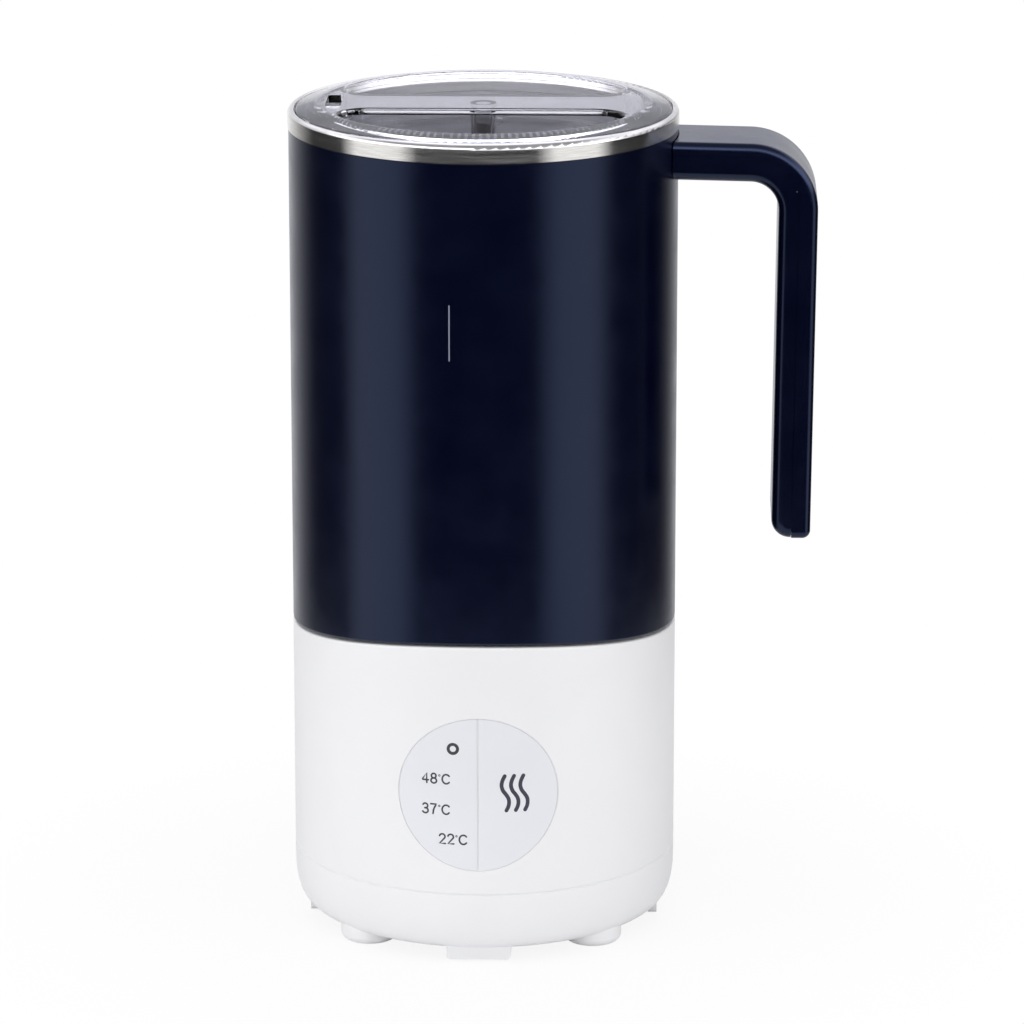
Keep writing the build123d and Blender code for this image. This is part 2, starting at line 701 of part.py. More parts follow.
with BuildPart() as drive_magnets:
    post(drive_magnet_radius, rotor_top - drive_magnet_height, rotor_top, drive_magnet_centres)

# ---------------------------------------------------------------- base: temperature sensor
with BuildPart() as sensor_plunger:
    post(sensor_radius, sensor_shoulder, sensor_top, [(0, sensor_offset)])
    fillet(edges().filter_by(GeomType.CIRCLE).group_by(Axis.Z)[-1], small_edge)
    post(guide_wall - running, sensor_shoulder - sensor_head, sensor_shoulder, [(0, sensor_offset)])

with BuildPart() as sensor_spring:
    post(guide_wall - body_clearance, spring_floor, spring_top, [(0, sensor_offset)])
    post(guide_wall - body_clearance - spring_wire, spring_floor, spring_top, [(0, sensor_offset)],
         Mode.SUBTRACT)

# ---------------------------------------------------------------- base: buttons
def curved_plate(inner, outer, radius, side):
    """Half of a round plate that follows the body's cylinder, on one side of the button split.

    A plate wider than the button is flat at its top and bottom, so that it passes under the shelf."""
    with BuildPart() as plate:
        with BuildSketch(Plane.XY.offset(button_height - radius)):
            Circle(outer)
            Circle(inner, mode=Mode.SUBTRACT)
        extrude(amount=2 * radius)
        with BuildSketch(Plane.XZ):
            with Locations((0, button_height)):
                Circle(radius)
            with Locations((side * (button_split / 2 + radius / 2), button_height)):
                Rectangle(radius, 2 * button_radius, mode=Mode.INTERSECT)
        extrude(amount=body_radius + 1, mode=Mode.INTERSECT)
    return plate.part


flange_outer = shell_inner - body_clearance
buttons = {}
plungers = {}
for button_name, side in (("select", -1), ("heat", 1)):
    with BuildPart() as button:
        add(curved_plate(button_inner, body_radius, button_radius, side))
        add(curved_plate(button_inner, flange_outer, button_rim, side))
        guide_start = math.sqrt(button_inner**2 - guide_x**2) + button_root
        level_post(guide_radius, guide_start, frame_back + snug,
                   [(side * guide_x, button_height + z) for z in (-guide_z, guide_z)])
        stem_start = math.sqrt(button_inner**2 - switch_x**2) + button_root
        level_post(stem_radius, stem_start, plunger_front, [(side * switch_x, button_height)])
    buttons[button_name] = button
    with BuildPart() as plunger:
        level_post(plunger_radius, plunger_front, switch_front - switch_bore_depth + button_travel + snug,
                   [(side * switch_x, button_height)])
    plungers[button_name] = plunger

with BuildPart() as button_frame:
    with BuildSketch(Plane.XZ.offset(frame_back)):
        with Locations((0, button_height)):
            RectangleRounded(frame_width, frame_height, frame_corner_radius)
        with Locations(*frame_centres):
            Circle(frame_screw_radius + snug / 2, mode=Mode.SUBTRACT)
        with Locations((-switch_x, button_height), (switch_x, button_height)):
            Rectangle(switch_size + 2 * body_clearance, switch_size + 2 * body_clearance, mode=Mode.SUBTRACT)
        with Locations(*light_centres):
            Circle(light_width / 2 + 2 * body_clearance, mode=Mode.SUBTRACT)
        with Locations(*[(s * guide_x, button_height + t * guide_z) for s in (-1, 1) for t in (-1, 1)]):
            Circle(guide_radius + running, mode=Mode.SUBTRACT)
    extrude(amount=frame_thickness)
    level_post(frame_post_radius - snug / 2, frame_back, control_board_front, frame_centres)
    level_post(frame_screw_radius + snug / 2, frame_back, control_board_front, frame_centres, Mode.SUBTRACT)

with BuildPart() as control_board:
    with BuildSketch(Plane.XZ.offset(control_board_back)):
        with Locations((0, button_height)):
            RectangleRounded(frame_width, frame_height, frame_corner_radius)
        with Locations(*frame_centres):
            Circle(frame_screw_radius, mode=Mode.SUBTRACT)
    extrude(amount=board_thickness)

with BuildPart() as button_switches:
    for side in (-1, 1):
        half = switch_size / 2
        block((side * switch_x - half, side * switch_x + half), (-switch_front, -control_board_front),
              (button_height - half, button_height + half))
    level_post(plunger_radius + running, switch_front, switch_front - switch_bore_depth,
               [(-switch_x, button_height), (switch_x, button_height)], Mode.SUBTRACT)

with BuildPart() as indicator_leds:
    light_front = control_board_front + light_base
    for x, z in light_centres:
        block((x - light_width / 2, x + light_width / 2), (-light_front, -control_board_front),
              (z - light_depth / 2, z + light_depth / 2))
        level_post(light_radius, light_front + light_radius / 2, light_front - snug, [(x, z)])

frame_screw = screw(2 * frame_screw_radius, small_head, frame_screw_radius,
                    board_thickness + board_gap + frame_thickness + frame_screw_bite - snug)
with BuildPart() as button_screws:
    with Locations(*[Location((x, -control_board_back, z), (90, 0, 0)) for x, z in frame_centres]):
        add(frame_screw)

# ---------------------------------------------------------------- base: power electronics
with BuildPart() as power_board:
    post(power_board_radius, board_height, board_top)
    post(screw_pilot, board_height, board_top, board_centres, Mode.SUBTRACT)

with BuildPart() as terminal_block:
    terminal_rear = power_board_radius - terminal_inset
    terminal_front = terminal_rear - terminal_depth
    terminal_top = board_top + terminal_height
    block((-terminal_width / 2, terminal_width / 2), (terminal_front, terminal_rear),
          (board_top, terminal_top))
    for x in (-terminal_width / 4, terminal_width / 4):
        post(terminal_screw_radius, terminal_top - terminal_height / 2, terminal_top,
             [(x, (terminal_front + terminal_rear) / 2)], Mode.SUBTRACT)
        level_post(terminal_wire_radius, -(terminal_front + terminal_depth / 3), -terminal_rear,
                   [(x, board_top + terminal_height / 3)], Mode.SUBTRACT)

with BuildPart() as filter_choke:
    with BuildSketch(Plane.XZ):
        with Locations((choke_radius - choke_core_width / 2, board_top + choke_height / 2)):
            RectangleRounded(choke_core_width, choke_height, choke_core_width / 4)
    revolve(axis=Axis.Z)
    with BuildSketch(Plane.XY.offset(board_top)):
        with PolarLocations(choke_radius, choke_windings, start_angle=choke_split,
                            angular_range=360 - 2 * choke_split):
            Circle(small_edge)
    extrude(amount=choke_height)
choke_place = Location((choke_x, choke_y, 0))

with BuildPart() as smoothing_capacitors:
    post(capacitor_radius, board_top, board_top + capacitor_height,
         [(capacitor_x, side * capacitor_pitch / 2) for side in (-1, 1)])
    fillet(edges().filter_by(GeomType.CIRCLE).group_by(Axis.Z)[-1], 2 * small_edge)

with BuildPart() as heat_sink:
    block((-sink_width / 2, sink_width / 2), (sink_y, sink_y + sink_plate),
          (board_top, board_top + sink_height))
    with Locations((0, sink_y + sink_plate + sink_fin_length / 2, board_top + sink_height / 2)):
        with GridLocations((sink_width - sink_fin) / (sink_fins - 1), 0, sink_fins, 1):
            Box(sink_fin, sink_fin_length, sink_height)

with BuildPart() as driver_transistor:
    block((-transistor_width / 2, transistor_width / 2), (sink_y - transistor_thickness, sink_y),
          (board_top + transistor_lift, board_top + transistor_lift + transistor_height))

with BuildPart() as supply_transformer:
    core_rear = transformer_y + transformer_depth / 2
    core_front = transformer_y - transformer_depth / 2
    core_middle = board_top + transformer_height / 2
    block((-transformer_width / 2, transformer_width / 2), (core_front, core_rear),
          (board_top, board_top + transformer_height))
    block((bobbin_inset - transformer_width / 2, transformer_width / 2 - bobbin_inset),
          (core_front - bobbin_reach, core_rear + bobbin_reach),
          (core_middle - bobbin_height / 2, core_middle + bobbin_height / 2))

with BuildPart() as ribbon_cable:
    ribbon_end = 4 * ribbon_bend - control_board_back
    with BuildSketch(Plane.YZ.offset(-ribbon_width / 2)):
        with BuildLine():
            FilletPolyline((-control_board_back, ribbon_start_height),
                           (2 * ribbon_bend - control_board_back, ribbon_start_height),
                           (ribbon_end, ribbon_start_height - 3 * ribbon_bend),
                           (ribbon_end, board_top), radius=ribbon_bend)
        trace(line_width=ribbon_thickness)
    extrude(amount=ribbon_width)

# ---------------------------------------------------------------- base: feet, gland and screws
with BuildPart() as rubber_feet:
    post(foot_radius, 0, underside_height + foot_rise, foot_centres)
    add(bottom_cover.part, mode=Mode.SUBTRACT)
    fillet(edges().filter_by(GeomType.CIRCLE).group_by(Axis.Z)[0], foot_edge)
    post(foot_spigot_radius, underside_height, underside_height + foot_spigot_height, foot_centres)

cover_screw = screw(2 * cover_screw_radius, cover_screw_head, cover_screw_radius,
                    pillar_top - cover_screw_seat + cover_screw_reach)
with BuildPart() as housing_screws:
    with Locations(*[(x, y, cover_screw_seat) for x, y in foot_centres]):
        add(cover_screw)

small_screw = screw(2 * screw_pilot, small_head, screw_pilot, shelf_thickness + tray_screw_bite - snug)
with BuildPart() as tray_screws:
    with Locations(*[(x, y, shelf_bottom) for x, y in tray_screw_centres]):
        add(small_screw)

bracket_screw = screw(2 * screw_pilot, small_head, screw_pilot, bracket_thickness + screw_bite)
with BuildPart() as bracket_screws:
    with Locations(*[(x, y, bracket_bottom) for x, y in arm_bosses]):
        add(bracket_screw)

carrier_screw = screw(2 * carrier_screw_shank, small_head, carrier_screw_shank,
                      carrier_thickness + tray_screw_bite - snug)
with BuildPart() as carrier_screws:
    with Locations(*[(x, y, carrier_bottom) for x, y in carrier_screw_centres]):
        add(carrier_screw)

motor_screw = screw(2 * motor_screw_shank, small_head, motor_screw_shank,
                    bracket_thickness + motor_screw_bite)
with BuildPart() as motor_screws:
    with Locations(*[Location((x, y, bracket_top), (180, 0, 0)) for x, y in motor_screw_centres]):
        add(motor_screw)

board_screw = screw(2 * screw_pilot, small_head, screw_pilot, board_thickness + screw_bite)
with BuildPart() as board_screws:
    with Locations(*[Location((x, y, board_top), (180, 0, 0)) for x, y in board_centres]):
        add(board_screw)

with BuildPart() as cord_gland:
    gland_outer_end = body_radius + gland_flange_proud
    gland_inner_end = shell_inner - gland_tail
    gland_collar_end = math.sqrt(shell_inner**2 - gland_flange_radius**2)
    gland_mouth_start = math.sqrt(shell_inner**2 - gland_neck_radius**2) - body_clearance
    level_post(gland_flange_radius, -shell_inner, -gland_outer_end, [(0, gland_height)])
    fillet(edges().filter_by(GeomType.CIRCLE).sort_by(Axis.Y)[-1], gland_edge)
    post(body_radius, 0, shelf_bottom, mode=Mode.SUBTRACT)
    level_post(gland_neck_radius, -gland_inner_end, -body_radius - gland_flange_proud / 2,
               [(0, gland_height)])
    level_post(gland_flange_radius, -gland_inner_end, -gland_collar_end, [(0, gland_height)])
    level_post(gland_bore_radius, -gland_inner_end, -gland_mouth_start, [(0, gland_height)], Mode.SUBTRACT)
    with Locations(Location((0, gland_mouth_start, gland_height), (-90, 0, 0))):
        Cone(gland_bore_radius, gland_mouth_radius, gland_outer_end - gland_mouth_start,
             align=(Align.CENTER, Align.CENTER, Align.MIN), mode=Mode.SUBTRACT)

# ---------------------------------------------------------------- jug
with BuildPart() as jug_jacket:
    jacket_start = seat_crown - seat_drop - overcut
    with BuildSketch(Plane.XY.offset(jacket_start)):
        Circle(body_radius)
        Circle(shell_inner, mode=Mode.SUBTRACT)
    extrude(amount=jacket_top - jacket_start)
    chamfer(edges().filter_by(GeomType.CIRCLE).group_by(Axis.Z)[-1].sort_by(SortBy.RADIUS)[-1],
            body_clearance)
    add(seat_saddle(seam_gap / 2), mode=Mode.SUBTRACT)
    jug_rim = [e for e in edges() if e.bounding_box().max.Z < seat_crown + 1
               and abs(e.bounding_box().max.Y) > shell_inner + 1]
    fillet(jug_rim, seam_rounding)
    with BuildSketch(Plane.XY.offset(snap_height)):
        Circle(shell_inner + snap_depth)
        Circle(shell_inner - 1, mode=Mode.SUBTRACT)
    extrude(amount=snap_width, mode=Mode.SUBTRACT)
    block((shell_inner - 2, body_radius + 2), (-bracket_width / 2 - snug, bracket_width / 2 + snug),
          (strip_centre - bracket_strip / 2 - snug, strip_centre + bracket_strip / 2 + snug), Mode.SUBTRACT)

with BuildPart() as inner_pot:
    with BuildSketch(Plane.XZ):
        with BuildLine():
            Line((0, pot_bottom), (pot_outer - pot_corner, pot_bottom))
            RadiusArc((pot_outer - pot_corner, pot_bottom), (pot_outer, pot_bottom + pot_corner), -pot_corner)
            Polyline((pot_outer, pot_bottom + pot_corner), (pot_outer, ledge_height - pot_wall),
                     (lid_ledge_radius, ledge_height - pot_wall), (lid_ledge_radius, jacket_top),
                     (rim_radius, jacket_top), (rim_radius, rim_top), (lid_ledge_radius, rim_top),
                     (lid_ledge_radius, ledge_height), (pot_radius, ledge_height),
                     (pot_radius, pot_bottom + pot_corner))
            RadiusArc((pot_radius, pot_bottom + pot_corner),
                      (pot_outer - pot_corner, pot_floor_top), pot_corner - pot_wall)
            Polyline((pot_outer - pot_corner, pot_floor_top), (0, pot_floor_top), (0, pot_bottom))
        make_face()
    revolve(axis=Axis.Z)
    rim_circles = edges().filter_by(GeomType.CIRCLE).group_by(Axis.Z)
    fillet(rim_circles[-1].sort_by(SortBy.RADIUS)[-1], rim_outer_edge)
    fillet(edges().filter_by(GeomType.CIRCLE).group_by(Axis.Z)[-1].sort_by(SortBy.RADIUS)[0], rim_inner_edge)
    ledge_edge = [e for e in edges().filter_by(GeomType.CIRCLE)
                  if abs(e.radius - pot_radius) < match and abs(e.center().Z - ledge_height) < match]
    fillet(ledge_edge, pot_mouth_edge)

with BuildPart() as jug_bottom:
    flange_bottom = seat_crown + ring_wall
    bead_top = snap_height + snap_width - 2 * snug
    with BuildSketch(Plane.XZ):
        with BuildLine():
            Polyline((ring_hole_radius, ring_bottom), (ring_outer - ring_corner, ring_bottom),
                     (ring_outer, ring_bottom + ring_corner), (ring_outer, flange_bottom),
                     (shell_inner - snug / 2, flange_bottom), (shell_inner - snug / 2, snap_height + snug),
                     (shell_inner + snap_depth - snug, snap_height + snug),
                     (shell_inner + snap_depth - snug, snap_height + snap_width / 2),
                     (shell_inner - snug / 2, bead_top), (ring_inner, bead_top),
                     (ring_inner, pot_bottom + ring_corner),
                     (ring_inner - ring_floor, ring_bottom + ring_floor),
                     (ring_hole_radius, ring_bottom + ring_floor), close=True)
        make_face()
    revolve(axis=Axis.Z)

with BuildPart() as pot_gasket:
    with BuildSketch(Plane.XY.offset(ring_bottom + ring_floor)):
        Circle(ring_hole_radius + gasket_inset + gasket_width)
        Circle(ring_hole_radius + gasket_inset, mode=Mode.SUBTRACT)
    extrude(amount=pot_bottom - ring_bottom - ring_floor)

with BuildPart() as stirrer_pin:
    post(stirrer_pin_foot, pot_floor_top, pot_floor_top + stirrer_pin_radius / 2)
    post(stirrer_pin_radius, pot_floor_top, pot_floor_top + stirrer_pin_height)
    fillet(edges().filter_by(GeomType.CIRCLE).group_by(Axis.Z)[-1], stirrer_pin_tip)


# ---------------------------------------------------------------- handle
def handle_line(arm, grip, root, end):
    """Points along the handle in side view: at the jug, along the bend (start, middle, end), at the free end.
    arm and grip are the line's distances from the bend's centre on the arm and on the grip."""
    radius = min(arm, grip)
    cross = arm_normal[0] * grip_normal[1] - arm_normal[1] * grip_normal[0]
    centre_x = bend_x + ((arm - radius) * grip_normal[1] - (grip - radius) * arm_normal[1]) / cross
    centre_z = bend_z + ((grip - radius) * arm_normal[0] - (arm - radius) * grip_normal[0]) / cross
    middle = [(a + g) / math.hypot(arm_normal[0] + grip_normal[0], arm_normal[1] + grip_normal[1])
              for a, g in zip(arm_normal, grip_normal)]
    bend = [(centre_x + radius * x, centre_z + radius * z) for x, z in (arm_normal, middle, grip_normal)]
    at_root = (root, bend[0][1] + (bend[0][0] - root) * math.tan(math.radians(arm_droop)))
    at_end = (bend[2][0] - (bend[2][1] - end) * math.tan(math.radians(grip_lean)), end)
    return at_root, bend, at_end


def handle_band(inner, outer, root, end, inner_corner, outer_corner):
    """Side view of a band of the handle between two lines, each given as (arm, grip) distances."""
    inner_root, inner_bend, inner_end = handle_line(*inner, root, end)
    outer_root, outer_bend, outer_end = handle_line(*outer, root, end)
    with BuildSketch(Plane.XZ.offset(-arm_width / 2)) as band:
        with BuildLine():
            Line(outer_root, outer_bend[0])
            ThreePointArc(*outer_bend)
            Polyline(outer_bend[2], outer_end, inner_end, inner_bend[2])
            ThreePointArc(*inner_bend[::-1])
            Polyline(inner_bend[0], inner_root, outer_root)
        make_face()
        if inner_corner:
            fillet(band.vertices().group_by(Axis.Y)[0].sort_by(Axis.X)[0], inner_corner)
        if outer_corner:
            fillet(band.vertices().group_by(Axis.Y)[0].sort_by(Axis.X)[-1], outer_corner)
    return band.sketch


def handle_seam(side):
    """The handle's parting line, on the outer (1) or inner (-1) side of its gap."""
    return tuple(arm_outer_bend - depth + side * arm_seam_gap / 2 for depth in (arm_seam, grip_seam))


def long_edges(part, offset):
    """Long edges of one half of the handle, along its face at an offset from the bend's centre."""
    found = []
    for edge in part.edges():
        box = edge.bounding_box()
        x, z = edge.center().X - bend_x, edge.center().Z - bend_z
        at_side = box.max.Y - box.min.Y < match and abs(abs(edge.center().Y) - arm_width / 2) < match
        on_arm = abs(x * arm_normal[0] + z * arm_normal[1] - offset) < match
        on_grip = abs(x * grip_normal[0] + z * grip_normal[1] - offset) < match
        on_bend = edge.geom_type == GeomType.CIRCLE and abs(edge.radius - offset) < match
        if at_side and (on_arm or on_grip or on_bend):
            found.append(edge)
    return found


handle_root = body_radius - root_sink
cavity_end = grip_end + 2 * arm_wall
inner_face = (arm_inner_bend, arm_inner_bend)
outer_face = (arm_outer_bend, arm_outer_bend)
with BuildPart() as handle_cavity:
    extrude(handle_band([offset + arm_wall for offset in inner_face],
                        [offset - arm_wall for offset in outer_face],
                        body_radius - overcut, cavity_end, 0, 0), amount=arm_width)
    for side in ((-arm_width, -arm_width / 2 + arm_wall), (arm_width / 2 - arm_wall, arm_width)):
        block((0, 2 * bend_x), side, (grip_end - overcut, rim_top + overcut), Mode.SUBTRACT)

with BuildPart() as handle_outer:
    extrude(handle_band(handle_seam(1), outer_face, handle_root, grip_end, 0, grip_outer_corner),
            amount=arm_width)
    fillet(long_edges(handle_outer, arm_outer_bend), arm_edge)
    add(handle_cavity.part, mode=Mode.SUBTRACT)
    post(body_radius + root_gap, grip_end, rim_top + 2, mode=Mode.SUBTRACT)

with BuildPart() as handle_inner:
    extrude(handle_band(inner_face, handle_seam(-1), handle_root, grip_end, grip_inner_corner, 0),
            amount=arm_width)
    fillet(long_edges(handle_inner, arm_inner_bend), arm_inner_edge)
    add(handle_cavity.part, mode=Mode.SUBTRACT)
    screw_seat = bend_z + arm_inner_bend + arm_screw_recess
    post(arm_boss_radius, screw_seat - arm_screw_recess / 2, strip_centre - bracket_strip / 2, screw_bosses)
    post(2 * arm_screw_shank + snug, bend_z, screw_seat, screw_bosses, Mode.SUBTRACT)
    post(arm_screw_shank + snug / 2, bend_z, strip_centre, screw_bosses, Mode.SUBTRACT)
    post(body_radius + root_gap, grip_end, rim_top + 2, mode=Mode.SUBTRACT)

with BuildPart() as handle_bracket:
    plate_outer = shell_inner - running
    block((plate_outer - bracket_plate / 2, screw_bosses[-1][0] + bracket_end),
          (-bracket_width / 2, bracket_width / 2),
          (strip_centre - bracket_strip / 2, strip_centre + bracket_strip / 2))
    with BuildSketch(Plane.XY.offset(strip_centre - bracket_plate_drop)):
        Circle(plate_outer)
        Circle(plate_outer - bracket_plate, mode=Mode.SUBTRACT)
        with Locations((shell_inner, 0)):
            Rectangle(shell_inner, bracket_width + 2 * bracket_end, mode=Mode.INTERSECT)
    extrude(amount=bracket_plate_height)
    post(arm_screw_shank, strip_centre - bracket_strip, strip_centre + bracket_strip, screw_bosses,
         Mode.SUBTRACT)

arm_screw = screw(2 * arm_screw_shank, small_head, arm_screw_shank,
                  strip_centre + bracket_strip / 2 - screw_seat)
with BuildPart() as handle_screws:
    with Locations(*[(x, y, screw_seat) for x, y in screw_bosses]):
        add(arm_screw)

# ---------------------------------------------------------------- stirrer
with BuildPart() as stirrer:
    post(stirrer_hub_radius, stirrer_bottom, stirrer_bottom + stirrer_hub_height)
    fillet(edges().filter_by(GeomType.CIRCLE), stirrer_ring / 2)
    sleeve_top = pot_floor_top + stirrer_pin_height + stirrer_sleeve_cap
    post(stirrer_sleeve_radius, stirrer_bottom, sleeve_top)
    fillet(edges().filter_by(GeomType.CIRCLE).group_by(Axis.Z)[-1], stirrer_cap_edge)
    blade_bottom = stirrer_bottom + stirrer_ring / 2
    blade_root = stirrer_sleeve_radius / 2
    with BuildSketch(Plane.XY.offset(blade_bottom)):
        with PolarLocations((stirrer_radius - snug + blade_root) / 2, stirrer_blades):
            Rectangle(stirrer_radius - snug - blade_root, stirrer_ring)
    extrude(amount=stirrer_blade_height)
    with BuildSketch(Plane.XY.offset(blade_bottom)):
        Circle(stirrer_radius)
        Circle(stirrer_radius - stirrer_ring, mode=Mode.SUBTRACT)
    extrude(amount=stirrer_ring_height)
    post(stirrer_pin_radius + running, stirrer_bottom, pot_floor_top + stirrer_pin_height + body_clearance,
         mode=Mode.SUBTRACT)
    stirrer_magnet_centres = ring_centres(stirrer_magnet_offset, stirrer_magnet_angles)
    post(stirrer_magnet_radius, stirrer_bottom, stirrer_bottom + stirrer_magnet_height,
         stirrer_magnet_centres, Mode.SUBTRACT)

with BuildPart() as stirrer_magnets:
    post(stirrer_magnet_radius, stirrer_bottom, stirrer_bottom + stirrer_magnet_height,
         stirrer_magnet_centres)


# ---------------------------------------------------------------- lid
def well_shape(radius, straight, corner, height):
    """The two D-shaped wells of the lid, front and rear, as one sketch."""
    with BuildSketch(Plane.XY.offset(height)) as wells:
        Circle(radius)
        Rectangle(2 * radius + 2, 2 * straight, mode=Mode.SUBTRACT)
        fillet(wells.vertices(), corner)
    return wells.sketch


with BuildPart() as lid:
    with BuildSketch(Plane.XZ):
        with BuildLine():
            Line((0, lid_crown - lid_plate), (0, lid_crown))
            Line((0, lid_crown), (well_radius + lid_edge_side, lid_crown))
            Spline((well_radius + lid_edge_side, lid_crown), (lid_radius - lid_shoulder, lid_edge_top),
                   (lid_radius, lid_edge_top - lid_edge_side), tangents=((1, 0), (0, -1)))
            Polyline((lid_radius, lid_edge_top - lid_edge_side), (lid_radius, lid_underside),
                     (well_radius, lid_underside), (well_radius, lid_crown - lid_plate),
                     (0, lid_crown - lid_plate))
        make_face()
    revolve(axis=Axis.Z)
    with BuildSketch(Plane.XY.offset(well_floor - well_wall)):
        Circle(well_radius + well_wall)
        Circle(well_radius, mode=Mode.SUBTRACT)
    extrude(amount=lid_underside - well_floor + well_wall)
    extrude(well_shape(well_radius + well_wall, bar_width / 2 - well_wall, well_corner + well_wall,
                       well_floor - well_wall), amount=well_depth + well_wall - small_edge)
    extrude(well_shape(well_radius, bar_width / 2, well_corner, well_floor), amount=well_depth + 1,
            mode=Mode.SUBTRACT)
    well_rims = [e for e in edges() if abs(e.bounding_box().min.Z - lid_crown) < match
                 and abs(e.center().Z - lid_crown) < match and e.length < 2 * math.pi * well_radius
                 and math.hypot(e.center().X, e.center().Y) > bar_width / 4]
    fillet([e for e in well_rims if e.geom_type != GeomType.CIRCLE
            or e.radius < well_radius + small_edge], well_edge)
    with BuildSketch(Plane.XY.offset(lid_crown - lid_plate)):
        Circle(lid_post_radius)
    extrude(amount=-lid_post_length, taper=lid_post_taper)
    post(lid_post_bore, lid_crown - lid_plate - lid_post_length, lid_crown - lid_plate - overcut,
         mode=Mode.SUBTRACT)
    with BuildSketch(Plane.XY.offset(lid_underside - 1)):
        with Locations((slot_inset - well_radius, 0)):
            RectangleRounded(slot_width, slot_length, slot_width / 4)
    extrude(amount=3 * lid_plate, mode=Mode.SUBTRACT)
    vent_place = Location((vent_x, overcut - bar_width / 2, lid_crown - lid_plate - vent_drop), (90, 0, 0))
    with Locations(vent_place):
        Cylinder(vent_radius, 3 * well_wall, mode=Mode.SUBTRACT)
    for rib_height in (seal_bottom - seal_rib, seal_bottom + seal_height):
        with BuildSketch(Plane.XY.offset(rib_height)):
            Circle(well_radius + well_wall + seal_space / 2)
            Circle(well_radius + well_wall - snug, mode=Mode.SUBTRACT)
        extrude(amount=seal_rib)

with BuildPart() as lid_seal:
    seal_outer = pot_radius - body_clearance
    with BuildSketch(Plane.XZ):
        with BuildLine():
            Polyline((well_radius + well_wall, seal_bottom), (seal_outer - snug, seal_bottom),
                     (seal_outer, seal_bottom + seal_height / 4),
                     (seal_outer - snug, seal_bottom + seal_height / 2),
                     (seal_outer, seal_bottom + 3 * seal_height / 4),
                     (seal_outer - snug, seal_bottom + seal_height),
                     (well_radius + well_wall, seal_bottom + seal_height), close=True)
        make_face()
    revolve(axis=Axis.Z)

# ---------------------------------------------------------------- write one file for each piece
pieces = {
    "base_housing": base_housing.part,
    "bottom_cover": bottom_cover.part,
    "seat_tray": seat_tray.part,
    "sensor_seal": sensor_seal.part,
    "rubber_feet": rubber_feet.part,
    "cord_gland": cord_gland.part,
    "induction_coil": induction_coil.part,
    "coil_carrier": coil_carrier.part,
    "ferrite_bars": ferrite_bars.part,
    "coil_leads": coil_leads.part,
    "drive_motor": drive_motor.part,
    "motor_end_cap": motor_end_cap.part,
    "motor_bracket": motor_bracket.part,
    "motor_leads": motor_leads.part,
    "sensor_spring": sensor_spring.part,
    "button_frame": button_frame.part,
    "control_board": control_board.part,
    "button_switches": button_switches.part,
    "indicator_leds": indicator_leds.part,
    "power_board": power_board.part,
    "terminal_block": terminal_block.part,
    "filter_choke": filter_choke.part.moved(choke_place),
    "smoothing_capacitors": smoothing_capacitors.part,
    "heat_sink": heat_sink.part,
    "driver_transistor": driver_transistor.part,
    "supply_transformer": supply_transformer.part,
    "ribbon_cable": ribbon_cable.part,
    "housing_screws": housing_screws.part,
    "tray_screws": tray_screws.part,
    "bracket_screws": bracket_screws.part,
    "carrier_screws": carrier_screws.part,
    "motor_screws": motor_screws.part,
    "board_screws": board_screws.part,
    "button_screws": button_screws.part,
    "rotor_shaft": rotor_shaft.part,
    "magnet_hub": magnet_hub.part,
    "drive_magnets": drive_magnets.part,
    "sensor_plunger": sensor_plunger.part,
    "select_button": buttons["select"].part,
    "select_plunger": plungers["select"].part,
    "heat_button": buttons["heat"].part,
    "heat_plunger": plungers["heat"].part,
    "jug_jacket": jug_jacket.part,
    "inner_pot": inner_pot.part,
    "jug_bottom": jug_bottom.part,
    "pot_gasket": pot_gasket.part,
    "stirrer_pin": stirrer_pin.part,
    "handle_inner": handle_inner.part,
    "handle_outer": handle_outer.part,
    "handle_bracket": handle_bracket.part,
    "handle_screws": handle_screws.part,
    "stirrer": stirrer.part,
    "stirrer_magnets": stirrer_magnets.part,
    "lid": lid.part,
    "lid_seal": lid_seal.part,
}
for piece_name, piece in pieces.items():
    piece.label = piece_name
    export_step(piece, f"parts/{piece_name}.step")
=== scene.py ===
import json
import math

import bmesh
import bpy
from mathutils import Euler, Matrix, Vector


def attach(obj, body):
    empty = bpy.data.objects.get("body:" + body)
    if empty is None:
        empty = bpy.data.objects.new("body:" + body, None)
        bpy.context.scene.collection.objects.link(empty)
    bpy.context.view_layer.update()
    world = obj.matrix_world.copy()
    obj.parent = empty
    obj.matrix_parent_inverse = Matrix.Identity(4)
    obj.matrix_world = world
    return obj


# Looks for the baby formula maker. Metres, in the part's own frame:
# +Z up, origin on the jug's axis in the plane of the feet, buttons face -Y, handle to +X.

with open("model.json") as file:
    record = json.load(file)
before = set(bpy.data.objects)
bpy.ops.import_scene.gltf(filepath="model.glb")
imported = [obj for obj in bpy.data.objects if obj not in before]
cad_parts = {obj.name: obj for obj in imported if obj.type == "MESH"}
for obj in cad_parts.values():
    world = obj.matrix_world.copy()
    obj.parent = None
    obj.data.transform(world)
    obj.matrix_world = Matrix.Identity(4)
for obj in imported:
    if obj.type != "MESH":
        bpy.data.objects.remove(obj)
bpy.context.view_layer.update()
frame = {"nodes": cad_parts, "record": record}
nodes = frame["nodes"]

MM = 0.001
BODY_RADIUS = 52.5 * MM


